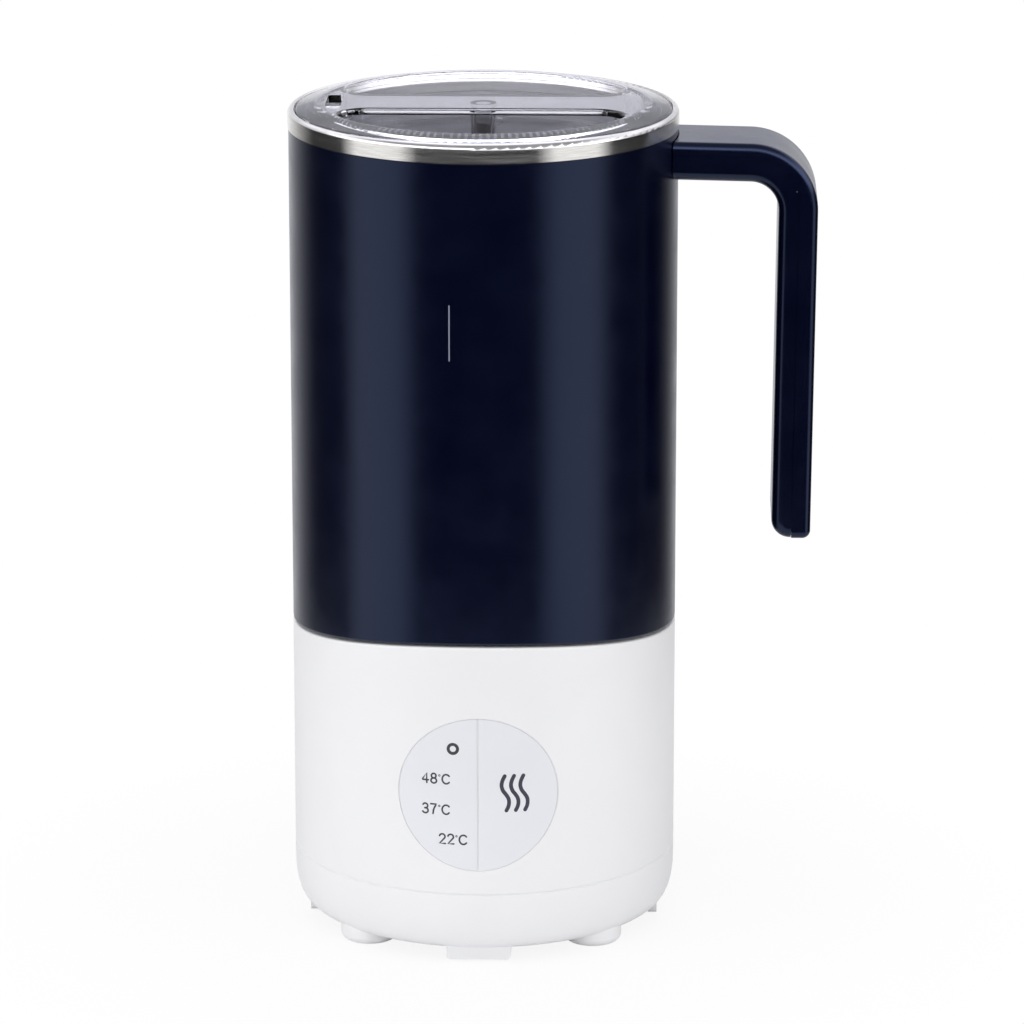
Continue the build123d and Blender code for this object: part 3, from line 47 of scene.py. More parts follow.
# ------------------------------------------------------------------ node helpers
class Graph:
    """Adds nodes to one node tree. Values are numbers, or outputs of other nodes."""

    def __init__(self, tree, coords):
        self.tree = tree
        self.coords = self.new("TexCoord").outputs[coords]

    def new(self, kind):
        return self.tree.nodes.new("ShaderNode" + kind)

    def link(self, source, target):
        self.tree.links.new(source, target)

    def put(self, socket, value):
        """Links an output into a socket, or sets the socket's own value. A colour is given without alpha."""
        if hasattr(value, "is_output"):
            self.link(value, socket)
        elif isinstance(value, tuple):
            socket.default_value = (*value, 1.0)
        elif value is not None:
            socket.default_value = value

    def calc(self, operation, a, b=None):
        node = self.new("Math")
        node.operation = operation
        self.put(node.inputs[0], a)
        self.put(node.inputs[1], b)
        return node.outputs[0]

    def add(self, a, b):
        return self.calc("ADD", a, b)

    def times(self, a, b):
        return self.calc("MULTIPLY", a, b)

    def higher(self, a, b):
        return self.calc("MAXIMUM", a, b)

    def between(self, factor, a, b):
        """a where the factor is 0, b where it is 1."""
        return self.add(a, self.times(factor, self.calc("SUBTRACT", b, a)))

    def spread(self, value, low, high, start=0.0, end=1.0):
        """Goes from low to high while the value goes from start to end, and stays there outside."""
        node = self.new("MapRange")
        for socket, number in zip(node.inputs[1:5], (start, end, low, high)):
            socket.default_value = number
        self.put(node.inputs[0], value)
        return node.outputs[0]

    def ramp(self, value, start, end):
        """0 up to the start, 1 from the end on."""
        return self.spread(value, 0.0, 1.0, start, end)

    def fall(self, value, start, end):
        """1 up to the start, 0 from the end on."""
        return self.spread(value, 1.0, 0.0, start, end)

    def split(self, vector):
        node = self.new("SeparateXYZ")
        self.link(vector, node.inputs[0])
        return node.outputs

    def join(self, x, y, z):
        node = self.new("CombineXYZ")
        for socket, value in zip(node.inputs, (x, y, z)):
            self.put(socket, value)
        return node.outputs[0]

    def mix(self, factor, a, b):
        """Mixes two colours."""
        node = self.new("Mix")
        node.data_type = "RGBA"
        self.put(node.inputs[0], factor)
        self.put(node.inputs[6], a)
        self.put(node.inputs[7], b)
        return node.outputs[2]


class Surface(Graph):
    """One material, built round its Principled BSDF, on the object's own coordinates."""

    def __init__(self, name):
        self.material = bpy.data.materials.new(name)
        self.material.use_nodes = True
        super().__init__(self.material.node_tree, "Object")
        self.shader = self.tree.nodes["Principled BSDF"]

    def noise(self, scale, detail=3.0, roughness=0.55, distortion=0.0, vector=None):
        node = self.new("TexNoise")
        settings = {"Scale": scale, "Detail": detail, "Roughness": roughness, "Distortion": distortion}
        for name, value in settings.items():
            node.inputs[name].default_value = value
        self.link(vector or self.coords, node.inputs["Vector"])
        return node.outputs["Fac"]

    def wave(self, kind, direction, scale, distortion):
        """Even waves: BANDS along a direction, or RINGS round it."""
        node = self.new("TexWave")
        node.wave_type = kind
        if kind == "BANDS":
            node.bands_direction = direction
        else:
            node.rings_direction = direction
        node.inputs["Scale"].default_value = scale
        node.inputs["Distortion"].default_value = distortion
        self.link(self.coords, node.inputs["Vector"])
        return node.outputs["Fac"]

    def cells(self, scale, feature):
        node = self.new("TexVoronoi")
        node.feature = feature
        node.inputs["Scale"].default_value = scale
        self.link(self.coords, node.inputs["Vector"])
        return node.outputs["Distance"]

    def radius(self):
        """Distance from the Z axis."""
        x, y, _ = self.split(self.coords)
        return self.calc("SQRT", self.add(self.times(x, x), self.times(y, y)))

    def turned(self, along, up):
        """Coordinates for marks that run round the Z axis: stretched along the turn, fine across it."""
        x, y, z = self.split(self.coords)
        radius = self.radius()
        safe = self.higher(radius, 1e-4)
        return self.join(
            self.times(self.calc("DIVIDE", x, safe), along),
            self.times(self.calc("DIVIDE", y, safe), along),
            self.times(self.add(z, radius), up),
        )

    def bump(self, height, strength, depth, below=None):
        """Raises the surface by a height pattern. The depth is in mm; below is a coarser bump."""
        node = self.new("Bump")
        node.inputs["Strength"].default_value = strength
        node.inputs["Distance"].default_value = depth * MM
        self.link(height, node.inputs["Height"])
        if below is not None:
            self.link(below, node.inputs["Normal"])
        return node.outputs[0]

    def mix_shaders(self, factor, a, b):
        node = self.new("MixShader")
        for source, socket in zip((factor, a, b), node.inputs):
            self.link(source, socket)
        return node.outputs[0]

    def wire(self, colour, roughness, normal=None, **constants):
        """Wires the shader. Constants are set on its own sockets, with _ for a space in the name."""
        self.put(self.shader.inputs["Base Color"], colour)
        self.put(self.shader.inputs["Roughness"], roughness)
        self.put(self.shader.inputs["Normal"], normal)
        for name, value in constants.items():
            self.put(self.shader.inputs[name.replace("_", " ")], value)
        return self.material


# ------------------------------------------------------------------ materials
# Colours are linear RGB. Noise scales are in cells per metre.
def moulded(name, colour, shade, roughness, grain=1800.0, grain_depth=0.02, **constants):
    """Injection-moulded plastic: fine grain, slow flow marks, a little gloss variation."""
    g = Surface(name)
    flow = g.noise(28.0, detail=2.0, distortion=0.6)
    tint = g.mix(g.ramp(flow, 0.3, 0.7), colour, shade)
    swing = 0.035
    gloss = g.spread(g.noise(90.0, detail=4.0), roughness - swing, roughness + swing, 0.3, 0.7)
    skin = g.bump(g.noise(grain, detail=2.0), strength=0.25, depth=grain_depth)
    normal = g.bump(g.noise(160.0, detail=1.0), strength=0.12, depth=0.05, below=skin)
    return g.wire(tint, gloss, normal, **constants)


def brushed(name):
    """Steel brushed round the Z axis: streaks that run with the turn, highlights drawn out across them.
    The rim is polished finer than the inside, which is satin. The inside's colours are paler than the rim's:
    painted light, standing in for the light that bounces round in the pot."""
    # The inside's paler colours are painted light, not a paler steel.
    inside_painted_light_dull, inside_painted_light_bright, inside_roughness = (0.92, 0.91, 0.89), (0.97, 0.96, 0.94), 0.85
    rim_dull, rim_bright, rim_roughness = (0.66, 0.645, 0.61), (0.82, 0.80, 0.75), 0.16
    g = Surface(name)
    streaks = g.noise(1.0, detail=5.0, roughness=0.6, vector=g.turned(along=9.0, up=5200.0))
    clouds = g.noise(1.0, detail=2.0, vector=g.turned(along=2.2, up=900.0))
    streaked = g.ramp(streaks, 0.35, 0.65)
    on_rim = g.ramp(g.radius(), 50.0 * MM, 51.0 * MM)
    tint = g.mix(on_rim, g.mix(streaked, inside_painted_light_dull, inside_painted_light_bright), g.mix(streaked, rim_dull, rim_bright))
    gloss = g.add(g.spread(on_rim, inside_roughness, rim_roughness), g.spread(clouds, -0.03, 0.04, 0.3, 0.7))
    tangent = g.new("Tangent")
    tangent.direction_type = "RADIAL"
    tangent.axis = "Z"
    g.link(tangent.outputs[0], g.shader.inputs["Tangent"])
    normal = g.bump(streaks, strength=0.12, depth=0.01)
    return g.wire(tint, gloss, normal, Metallic=1.0, Anisotropic=0.85, Anisotropic_Rotation=0.25)


def plated(name, colour, shade, roughness):
    """Plated or drawn metal with fine scratches and faint clouding."""
    g = Surface(name)
    cloud = g.noise(140.0, detail=4.0)
    scratches = g.noise(2400.0, detail=2.0, vector=g.turned(along=30.0, up=1.0))
    tint = g.mix(g.ramp(cloud, 0.35, 0.65), shade, colour)
    gloss = g.spread(cloud, roughness - 0.06, roughness + 0.08, 0.3, 0.7)
    return g.wire(tint, gloss, g.bump(scratches, strength=0.15, depth=0.02), Metallic=1.0)


def rubbery(name, colour, shade, roughness):
    """Silicone: velvety skin with dust and a soft mottling."""
    g = Surface(name)
    dust = g.noise(700.0)
    tint = g.mix(g.ramp(g.noise(70.0), 0.35, 0.65), colour, shade)
    gloss = g.spread(dust, roughness - 0.05, roughness + 0.08, 0.3, 0.7)
    return g.wire(tint, gloss, g.bump(dust, strength=0.2, depth=0.03))


def clear_plastic(name):
    """Clear moulded lid: faint lilac body, polished skin with slight flow waves."""
    g = Surface(name)
    flow = g.noise(55.0, detail=1.0, distortion=0.4)
    tint = g.mix(g.ramp(flow, 0.3, 0.7), (0.965, 0.965, 0.985), (0.98, 0.98, 0.995))
    gloss = g.spread(g.noise(240.0), 0.02, 0.07, 0.35, 0.7)
    normal = g.bump(flow, strength=0.1, depth=0.05)
    return g.wire(tint, gloss, normal, Transmission_Weight=1.0, IOR=1.55)


def wound(name):
    """Enamelled copper winding: turns side by side, each a little different."""
    g = Surface(name)
    turns = g.wave("RINGS", "Z", 95.0, distortion=0.3)
    tint = g.mix(g.ramp(turns, 0.1, 0.9), (0.22, 0.07, 0.02), (0.62, 0.24, 0.08))
    warm = g.mix(g.spread(g.noise(300.0), 0.0, 0.6), tint, (0.70, 0.33, 0.13))
    return g.wire(warm, 0.28, g.bump(turns, strength=0.8, depth=0.2), Metallic=0.85)


def insulated(name):
    """Flexible lead sheath: dull, with faint rings where it was extruded."""
    g = Surface(name)
    rings = g.wave("BANDS", "DIAGONAL", 420.0, distortion=1.0)
    tint = g.mix(g.ramp(g.noise(120.0), 0.35, 0.65), (0.42, 0.05, 0.04), (0.52, 0.08, 0.06))
    return g.wire(tint, g.spread(rings, 0.42, 0.55), g.bump(rings, strength=0.15, depth=0.03))


def printed_board(name):
    """Circuit board: solder mask over copper tracks, with tinned pads."""
    g = Surface(name)
    tracks = g.fall(g.cells(380.0, "DISTANCE_TO_EDGE"), 0.03, 0.07)
    pads = g.fall(g.cells(300.0, "F1"), 0.10, 0.16)
    mask = g.mix(tracks, (0.010, 0.085, 0.035), (0.020, 0.15, 0.060))
    tint = g.mix(pads, mask, (0.62, 0.62, 0.60))
    return g.wire(tint, g.spread(pads, 0.32, 0.22), g.bump(g.add(tracks, pads), strength=0.3, depth=0.05))


def taped(name):
    """Transformer: yellow tape in laps, with darker patches."""
    g = Surface(name)
    laps = g.wave("BANDS", "Z", 150.0, distortion=0.4)
    tape = g.mix(g.ramp(laps, 0.4, 0.6), (0.74, 0.50, 0.05), (0.82, 0.60, 0.10))
    tint = g.mix(g.spread(g.noise(220.0), 0.0, 0.35, 0.4, 0.7), tape, (0.56, 0.34, 0.03))
    return g.wire(tint, g.spread(laps, 0.30, 0.42), g.bump(laps, strength=0.3, depth=0.08))


def milky_lens(name):
    """Diffusing lens of an indicator light."""
    g = Surface(name)
    haze = g.noise(900.0, detail=2.0)
    tint = g.mix(g.ramp(haze, 0.3, 0.7), (0.80, 0.86, 0.90), (0.92, 0.95, 0.97))
    normal = g.bump(haze, strength=0.1, depth=0.02)
    return g.wire(tint, g.spread(haze, 0.2, 0.32), normal, Transmission_Weight=0.45)


def ink(name, colour, shade):
    """Pad-printed mark: matt, slightly uneven in tone."""
    g = Surface(name)
    patch = g.noise(1600.0)
    tint = g.mix(g.ramp(patch, 0.3, 0.7), colour, shade)
    return g.wire(tint, g.spread(patch, 0.42, 0.55), g.bump(patch, strength=0.2, depth=0.01))


SLOTS = {
    "white_plastic": moulded("white_plastic", (0.83, 0.83, 0.845), (0.81, 0.81, 0.825), 0.40),
    "button_plastic": moulded("button_plastic", (0.76, 0.77, 0.805), (0.745, 0.755, 0.79), 0.42),
    "navy_plastic": moulded(
        "navy_plastic", (0.0002, 0.0007, 0.0070), (0.0001, 0.0006, 0.0062), 0.23, grain=2600.0, grain_depth=0.012,
        Specular_IOR_Level=0.61, Specular_Tint=(0.47, 0.60, 1.0),
    ),
    "clear_plastic": clear_plastic("clear_plastic"),
    "brushed_steel": brushed("brushed_steel"),
    "plain_steel": plated("plain_steel", (0.62, 0.62, 0.63), (0.46, 0.46, 0.47), 0.30),
    "magnet_nickel": plated("magnet_nickel", (0.72, 0.69, 0.64), (0.60, 0.58, 0.54), 0.14),
    "foot_silicone": rubbery("foot_silicone", (0.86, 0.86, 0.875), (0.83, 0.83, 0.845), 0.42),
    "grey_silicone": rubbery("grey_silicone", (0.80, 0.80, 0.82), (0.74, 0.74, 0.76), 0.55),
    "stirrer_plastic": moulded("stirrer_plastic", (0.05, 0.06, 0.07), (0.065, 0.075, 0.085), 0.48),
    "black_plastic": moulded("black_plastic", (0.012, 0.012, 0.014), (0.02, 0.02, 0.022), 0.50),
    "copper_wire": wound("copper_wire"),
    "wire_insulation": insulated("wire_insulation"),
    "circuit_board": printed_board("circuit_board"),
    "terminal_green": moulded("terminal_green", (0.02, 0.22, 0.06), (0.016, 0.18, 0.05), 0.40),
    "transformer_yellow": taped("transformer_yellow"),
    "sink_aluminium": plated("sink_aluminium", (0.70, 0.71, 0.72), (0.58, 0.59, 0.60), 0.34),
    "led_lens": milky_lens("led_lens"),
}

for row in frame["record"]["subparts"]:
    cad_node = nodes[row["node"]]
    cad_node.data.materials.clear()
    cad_node.data.materials.append(SLOTS[row["material_slot"]])

MARK_INK = ink("mark_ink", (0.030, 0.031, 0.036), (0.042, 0.043, 0.050))
WAVE_INK = ink("wave_ink", (0.029, 0.029, 0.046), (0.036, 0.036, 0.055))
LINE_INK = ink("line_ink", (0.24, 0.26, 0.33), (0.20, 0.22, 0.29))


# ------------------------------------------------------------------ pieces
def placed(name, mesh, material):
    """Turns a bmesh into an object of the scene."""
    data = bpy.data.meshes.new(name)
    mesh.to_mesh(data)
    mesh.free()
    data.materials.append(material)
    piece = bpy.data.objects.new(name, data)
    bpy.context.scene.collection.objects.link(piece)
    return piece


def riding(name, mesh, material, body):
    """A closed piece, its faces turned outwards, which rides on a body."""
    bmesh.ops.recalc_face_normals(mesh, faces=mesh.faces)
    piece = placed(name, mesh, material)
    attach(piece, body)


# ------------------------------------------------------------------ printed marks
# Flat marks are drawn in mm, x to the right and z up, then laid round the body's cylinder.
PRINT_PROUD = 0.03 * MM
PRINT_SUNK = 0.02 * MM
CAP_STEPS = 6
SAME_POINT = 1e-6


def arc(cx, cy, rx, ry, start, end, steps):
    """Points on an arc. Angles in degrees, anticlockwise from +X."""
    turns = [math.radians(start + (end - start) * i / steps) for i in range(steps + 1)]
    return [(cx + rx * math.cos(t), cy + ry * math.sin(t)) for t in turns]


def curve(points, steps=8):
    """A smooth line through the points (Catmull-Rom)."""
    guide = [points[0], *points, points[-1]]
    path = []
    for a, b, c, d in zip(guide, guide[1:], guide[2:], guide[3:]):
        for i in range(steps):
            t = i / steps
            path.append(tuple(
                0.5 * (2 * q + (r - p) * t + (2 * p - 5 * q + 4 * r - s) * t * t
                       + (3 * q - p - 3 * r + s) * t ** 3)
                for p, q, r, s in zip(a, b, c, d)
            ))
    return path + [points[-1]]


def wrapped(x, z, azimuth, lift):
    """A flat mark's point on the body's cylinder. The azimuth, in degrees, is where x is 0."""
    turn = math.radians(azimuth) + x * MM / BODY_RADIUS
    radius = BODY_RADIUS + lift
    return Vector((radius * math.sin(turn), -radius * math.cos(turn), z * MM))


def sides(points, half, closed):
    """The points of a line, moved by half its width to the left and to the right."""
    last = len(points) - 1
    left, right = [], []
    for i, (x, z) in enumerate(points):
        before = points[i - 1] if closed or i else points[0]
        after = points[(i + 1) % len(points)] if closed or i < last else points[last]
        dx, dz = after[0] - before[0], after[1] - before[1]
        size = math.hypot(dx, dz)
        left.append((x - dz / size * half, z + dx / size * half))
        right.append((x + dz / size * half, z - dx / size * half))
    return left, right


def round_end(middle, start, half):
    """Points of a half circle, anticlockwise from the start, without its two ends."""
    angle = math.atan2(start[1] - middle[1], start[0] - middle[0])
    turns = [math.pi * i / CAP_STEPS for i in range(1, CAP_STEPS)]
    return [(middle[0] + half * math.cos(angle + t), middle[1] + half * math.sin(angle + t)) for t in turns]


def stroke(mesh, path, width, azimuth, height):
    """Adds one printed line of even width to a mark: a closed loop, or a line with round ends."""
    closed = math.dist(path[0], path[-1]) < SAME_POINT
    points = path[:-1] if closed else path
    count = len(points)
    half = width / 2
    left, right = sides(points, half, closed)

    def layer(flat, lift):
        return [mesh.verts.new(wrapped(x, z + height, azimuth, lift)) for x, z in flat]

    top_l, top_r = layer(left, PRINT_PROUD), layer(right, PRINT_PROUD)
    low_l, low_r = layer(left, -PRINT_SUNK), layer(right, -PRINT_SUNK)
    for i in range(count if closed else count - 1):
        j = (i + 1) % count
        mesh.faces.new((top_l[i], top_r[i], top_r[j], top_l[j]))
        mesh.faces.new((low_l[i], low_l[j], low_r[j], low_r[i]))
        mesh.faces.new((top_l[i], top_l[j], low_l[j], low_l[i]))
        mesh.faces.new((top_r[i], low_r[i], low_r[j], top_r[j]))
    if closed:
        return
    for end, (top_a, top_b), (low_a, low_b) in (
        (round_end(points[0], left[0], half), (top_l[0], top_r[0]), (low_l[0], low_r[0])),
        (round_end(points[-1], right[-1], half), (top_r[-1], top_l[-1]), (low_r[-1], low_l[-1])),
    ):
        top = [top_a, *layer(end, PRINT_PROUD), top_b]
        low = [low_a, *layer(end, -PRINT_SUNK), low_b]
        mesh.faces.new(top)
        mesh.faces.new(low[::-1])
        for i in range(len(top) - 1):
            mesh.faces.new((top[i], low[i], low[i + 1], top[i + 1]))


def mark(name, lines, azimuth, height, body, material):
    """One printed mark made of (path, width) strokes, which rides on a body."""
    mesh = bmesh.new()
    for path, width in lines:
        stroke(mesh, path, width, azimuth, height)
    riding(name, mesh, material, body)


# Each glyph: its width, and its strokes with x from the glyph's left edge and z from the foot of the line.
GLYPHS = {
    "2": (1.8, [arc(0.88, 2.16, 0.82, 0.80, 165, -28, 14) + [(0.10, 0.04), (1.78, 0.04)]]),
    "3": (1.8, [arc(0.85, 2.24, 0.74, 0.72, 155, -80, 14) + [(0.72, 1.54)],
                [(0.72, 1.54)] + arc(0.85, 0.80, 0.86, 0.78, 80, -155, 16)]),
    "4": (1.9, [[(1.38, 0.0), (1.38, 2.95), (0.04, 0.98), (0.04, 0.86), (1.88, 0.86)]]),
    "7": (1.8, [[(0.04, 2.92), (1.76, 2.92), (1.50, 2.50), (1.16, 1.90), (0.86, 1.15), (0.70, 0.0)]]),
    "8": (1.8, [arc(0.90, 2.25, 0.70, 0.70, -90, 270, 24), arc(0.90, 0.78, 0.84, 0.77, 90, 450, 26)]),
    "deg": (0.30, [arc(0.17, 2.46, 0.24, 0.24, 0, 360, 16)]),
    "C": (2.4, [arc(1.24, 1.42, 1.18, 1.40, 42, 318, 30)]),
}
GLYPH_HEIGHT = 3.0
GLYPH_GAP = 0.50
GLYPH_SCALE = 0.92
DIGIT_WIDTH = 0.46
DEGREE_WIDTH = 0.19


def text_lines(symbols):
    """Strokes of a line of glyphs, centred on x = 0 and z = 0."""
    total = sum(GLYPHS[s][0] for s in symbols) + GLYPH_GAP * (len(symbols) - 1)
    start = -total / 2
    lines = []
    for symbol in symbols:
        width, strokes = GLYPHS[symbol]
        middle = start + width / 2
        for line in strokes:
            path = [(middle + (x - width / 2) * GLYPH_SCALE, (z - GLYPH_HEIGHT / 2) * GLYPH_SCALE)
                    for x, z in line]
            lines.append((path, DEGREE_WIDTH if symbol == "deg" else DIGIT_WIDTH))
        start += width + GLYPH_GAP
    return lines


for digits, azimuth, height in (("48", -12.35, 53.05), ("37", -12.35, 44.45), ("22", -7.25, 36.15)):
    mark("mark_" + digits, text_lines((*digits, "deg", "C")), azimuth, height,
         body="select_button", material=MARK_INK)

STOP_RADIUS = 1.27
STOP_WIDTH = 0.84
STOP_LINE = arc(0, 0, STOP_RADIUS, STOP_RADIUS, 0, 360, 40)
mark("mark_stop", [(STOP_LINE, STOP_WIDTH)], azimuth=-7.3, height=61.6,
     body="select_button", material=MARK_INK)

WAVE = [(-0.31, 4.85), (-0.94, 3.5), (-1.15, 2.15), (-0.78, 0.8), (0.0, -0.3), (0.62, -1.3), (0.87, -2.35),
        (0.72, -3.65), (0.16, -4.85)]
WAVE_PITCH = 2.54
WAVE_WIDTH = 1.05
WAVE_LINES = [([(x + n * WAVE_PITCH, z) for x, z in curve(WAVE)], WAVE_WIDTH) for n in (-1, 0, 1)]
mark("mark_heat", WAVE_LINES, azimuth=11.0, height=49.2,
     body="heat_button", material=WAVE_INK)


# ------------------------------------------------------------------ pale bands in the grooves: painted light over their shade
# All in mm.
DISC_RADIUS = 21.2375
DISC_HEIGHT = 48.7625
GROOVE_MID = DISC_RADIUS + 0.15
DIVIDER_REACH = DISC_RADIUS - 0.05
DIVIDER_STEPS = 20
PARTING_HEIGHT = 20.35
BAND_FOOT = 0.60
BAND_SHOULDER = 0.06
BAND_EASE = 0.015
RING_STEPS = 144
RING_TURNS = [2 * math.pi * i / RING_STEPS for i in range(RING_STEPS)]


def painted_light_band_section(half, crown):
    """Section of a pale groove band, (sideways, depth below the surface), with a rounded outer face."""
    return [(-half, BAND_FOOT), (-half, crown + BAND_SHOULDER), (-half / 2, crown + BAND_EASE), (0.0, crown),
            (half / 2, crown + BAND_EASE), (half, crown + BAND_SHOULDER), (half, BAND_FOOT)]


def on_front(x, z, depth):
    """A point below the body's front surface."""
    return Vector((x, -math.sqrt((BODY_RADIUS / MM - depth) ** 2 - x * x), z)) * MM


def on_side(turn, z, depth):
    """A point below the body's surface, at an angle from the front."""
    outwards = Vector((math.sin(turn), -math.cos(turn), 0.0))
    return outwards * (BODY_RADIUS - depth * MM) + Vector((0.0, 0.0, z * MM))


def painted_light_band(name, rings, closed):
    """A pale solid band through rings of points, which rides on the base. It fills a groove as painted light,
    where shade would fall.
    """
    mesh = bmesh.new()
    loops = [[mesh.verts.new(point) for point in ring] for ring in rings]
    count = len(loops[0])
    for i in range(len(loops) if closed else len(loops) - 1):
        low, high = loops[i], loops[(i + 1) % len(loops)]
        for k in range(count):
            mesh.faces.new((low[k], low[(k + 1) % count], high[(k + 1) % count], high[k]))
    if not closed:
        mesh.faces.new(loops[0][::-1])
        mesh.faces.new(loops[-1])
    riding(name, mesh, SLOTS["foot_silicone"], "base")


# Pale bands in the button's groove, in its split and in the base's parting line: painted light over the shade in
# them.
painted_light_band("button_groove_painted_light", [
    [on_front((GROOVE_MID + side) * math.cos(t), DISC_HEIGHT + (GROOVE_MID + side) * math.sin(t), depth)
     for side, depth in painted_light_band_section(half=0.13, crown=0.16)]
    for t in RING_TURNS
], closed=True)
painted_light_band("button_divider_painted_light", [
    [on_front(side, DISC_HEIGHT + DIVIDER_REACH * (i / DIVIDER_STEPS - 1), depth)
     for side, depth in painted_light_band_section(half=0.18, crown=0.16)]
    for i in range(2 * DIVIDER_STEPS + 1)
], closed=False)
painted_light_band("parting_groove_painted_light", [
    [on_side(t, PARTING_HEIGHT + side, depth) for side, depth in painted_light_band_section(half=0.11, crown=0.12)]
    for t in RING_TURNS
], closed=True)

# ------------------------------------------------------------------ level line on the jug
LINE_HALF = 7.4
LINE_WIDTH = 0.34
mark("jug_line", [([(0, -LINE_HALF), (0, 0), (0, LINE_HALF)], LINE_WIDTH)], azimuth=-8.0, height=175.9,
     body="jug", material=LINE_INK)


# ------------------------------------------------------------------ camera
# Fitted to the photo. Angles in radians.
CAMERA_PLACE = (0.05136, -1.49484, 0.5237)
CAMERA_AZIMUTH = 0.0343
CAMERA_PITCH = 0.2679
CAMERA_ROLL = -0.0017
CAMERA_LENS = 198.95
CAMERA_SENSOR = 36.0
CAMERA_SHIFT = 0.0271
CAMERA_REACH = 50.0
camera_data = bpy.data.cameras.new("camera")
camera_data.lens = CAMERA_LENS
camera_data.sensor_width = CAMERA_SENSOR
camera_data.shift_x = CAMERA_SHIFT
camera_data.clip_end = CAMERA_REACH
camera = bpy.data.objects.new("camera", camera_data)
camera.location = CAMERA_PLACE
camera.rotation_euler = (
    Euler((math.pi / 2 - CAMERA_PITCH, 0.0, CAMERA_AZIMUTH)).to_matrix() @ Matrix.Rotation(CAMERA_ROLL, 3, "Z")
).to_euler()
bpy.context.scene.collection.objects.link(camera)
bpy.context.scene.camera = camera


# ------------------------------------------------------------------ floor
FLOOR_RADIUS = 0.30
FLOOR_SEGMENTS = 96
# The white that is shown to the camera takes over from the lit floor between these distances.
FADE_START, FADE_END = 0.05, 0.16
FADE_LEAST = 0.88

g = Surface("floor")
floor_material = g.wire(g.mix(g.noise(12.0), (0.86, 0.86, 0.87), (0.89, 0.89, 0.89)), 0.75, Specular_IOR_Level=0.2)
rays = g.new("LightPath").outputs
seen = g.times(g.spread(g.radius(), FADE_LEAST, 1.0, FADE_START, FADE_END),
               g.higher(rays["Is Camera Ray"], rays["Is Transmission Ray"]))
white = g.new("Emission")
white.inputs["Strength"].default_value = 1.0
from_above = g.mix_shaders(seen, g.shader.outputs[0], white.outputs[0])
# From below the floor is clear, so that the underside can be looked at.
from_below = g.new("BsdfTransparent").outputs[0]
shown = g.mix_shaders(g.new("NewGeometry").outputs["Backfacing"], from_above, from_below)
g.link(shown, g.tree.nodes["Material Output"].inputs["Surface"])

floor_mesh = bmesh.new()
bmesh.ops.create_circle(floor_mesh, cap_ends=True, radius=FLOOR_RADIUS, segments=FLOOR_SEGMENTS)
floor = placed("floor", floor_mesh, floor_material)


# ------------------------------------------------------------------ lamps
LAMP_AIM = Vector((0.0, 0.0, 0.12))
# Name, azimuth from the front towards the handle, elevation, distance, size, watts.
LAMPS = (
    ("key_left", -72, 12, 0.95, (0.75, 1.3), 4.8),
    ("key_right", 65, 12, 0.95, (0.70, 1.3), 4.3),
    ("front_fill", -8, 10, 1.7, (1.6, 1.2), 9.9),
    ("top_soft", 0, 80, 1.1, (1.0, 1.0), 5.0),
    ("rear_fill", 178, 10, 1.7, (1.2, 1.2), 9.0),
)


def softbox(name, azimuth, elevation, distance, size, power):
    """A soft rectangular lamp that faces the object's middle and shows in no reflection."""
    lamp = bpy.data.lights.new(name, "AREA")
    lamp.shape = "RECTANGLE"
    lamp.size, lamp.size_y = size
    lamp.energy = power
    thing = bpy.data.objects.new(name, lamp)
    a, e = math.radians(azimuth), math.radians(elevation)
    offset = Vector((math.sin(a) * math.cos(e), -math.cos(a) * math.cos(e), math.sin(e))) * distance
    thing.location = LAMP_AIM + offset
    thing.rotation_euler = (-offset).to_track_quat("-Z", "Y").to_euler()
    thing.visible_camera = False
    thing.visible_glossy = False
    thing.visible_transmission = False
    bpy.context.scene.collection.objects.link(thing)


for lamp_row in LAMPS:
    softbox(*lamp_row)


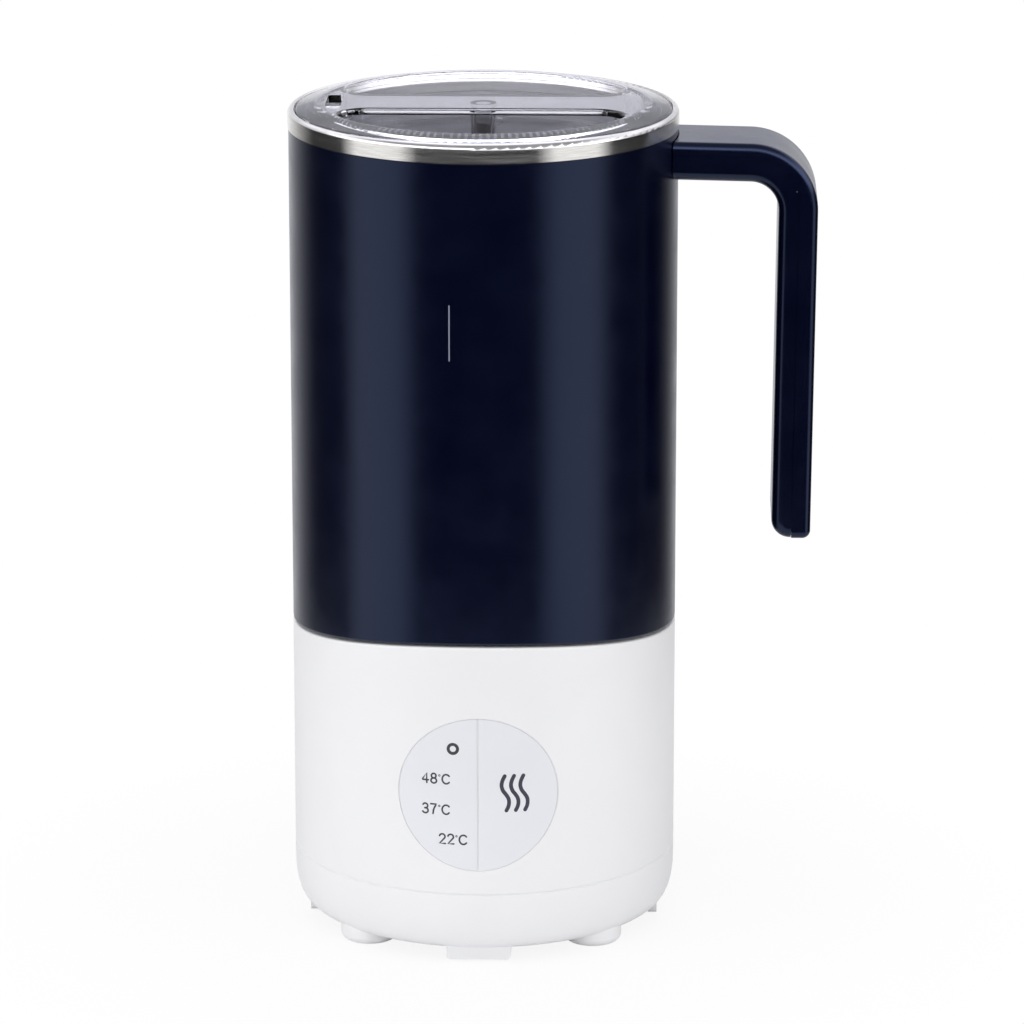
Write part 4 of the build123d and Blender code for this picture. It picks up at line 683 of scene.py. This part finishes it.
# ------------------------------------------------------------------ world
# What metal, gloss and glass reflect. Below the horizon: a white panel on each side, dark towards the camera and
# bright behind. Above it: white all round, brightest low at the front and dimmer overhead.
LEFT_PANEL = (-84, -43)
RIGHT_PANEL = (39, 78)
PANEL_EDGE = 6.0
PANEL_LEVEL = 1.05
FRONT_LEVEL = 0.035
REAR_DIRECTION = (-0.139, 0.990)
REAR_POWER = 1.7
HIGH_FRONT = 3.2
HIGH_REAR = 0.92
CEILING_REAR = 1.4
OVERHEAD = 0.4
DIFFUSE_LEVEL = 0.30
PLAIN_WHITE = (1.0, 1.0, 1.0)
LOW_TINT = (0.965, 0.97, 1.0)
HIGH_TINT = (0.895, 0.90, 1.0)
# Where one level gives way to the next, as parts of a direction's unit vector.
HORIZON = (0.09, 0.16)
REAR_SPOT = (0.50, 0.98)
REAR_RISE = (0.36, 0.46)
FRONT_FADE = (0.42, 0.80)
OVERHEAD_RISE = (0.70, 0.86)
FRONT_TO_REAR = (-0.2, 0.3)

world = bpy.data.worlds.new("studio")
world.use_nodes = True
world.cycles.sampling_method = "NONE"
bpy.context.scene.world = world
w = Graph(world.node_tree, "Generated")
wx, wy, wz = w.split(w.coords)
facing = w.calc("ARCTAN2", wx, w.times(wy, -1.0))


def panel(start, end):
    """1 between two azimuths in degrees (0 = front, towards the handle positive), soft at the edges."""
    a, b, soft = (math.radians(v) for v in (start, end, PANEL_EDGE))
    return w.times(w.ramp(facing, a - soft, a + soft), w.fall(facing, b - soft, b + soft))


panels = w.times(w.higher(panel(*LEFT_PANEL), panel(*RIGHT_PANEL)), PANEL_LEVEL)
behind = w.add(w.times(wy, REAR_DIRECTION[1]), w.times(wx, REAR_DIRECTION[0]))
rear = w.calc("POWER", w.ramp(behind, *REAR_SPOT), REAR_POWER)
low = w.higher(w.higher(panels, FRONT_LEVEL), rear)
high_rear = w.spread(wz, HIGH_REAR, CEILING_REAR, *REAR_RISE)
high_front = w.spread(wz, HIGH_FRONT, OVERHEAD, *FRONT_FADE)
high = w.between(w.fall(wy, *FRONT_TO_REAR), high_rear, high_front)
high = w.between(w.ramp(wz, *OVERHEAD_RISE), high, OVERHEAD)
risen = w.ramp(wz, *HORIZON)
studio = w.between(risen, low, high)

rays = w.new("LightPath").outputs
sharp = w.higher(rays["Is Glossy Ray"], rays["Is Transmission Ray"])
background = w.tree.nodes["Background"]
w.link(w.mix(sharp, PLAIN_WHITE, w.mix(risen, LOW_TINT, HIGH_TINT)), background.inputs["Color"])
w.link(w.higher(rays["Is Camera Ray"], w.between(sharp, DIFFUSE_LEVEL, studio)), background.inputs["Strength"])

bpy.context.scene.view_settings.view_transform = "Standard"
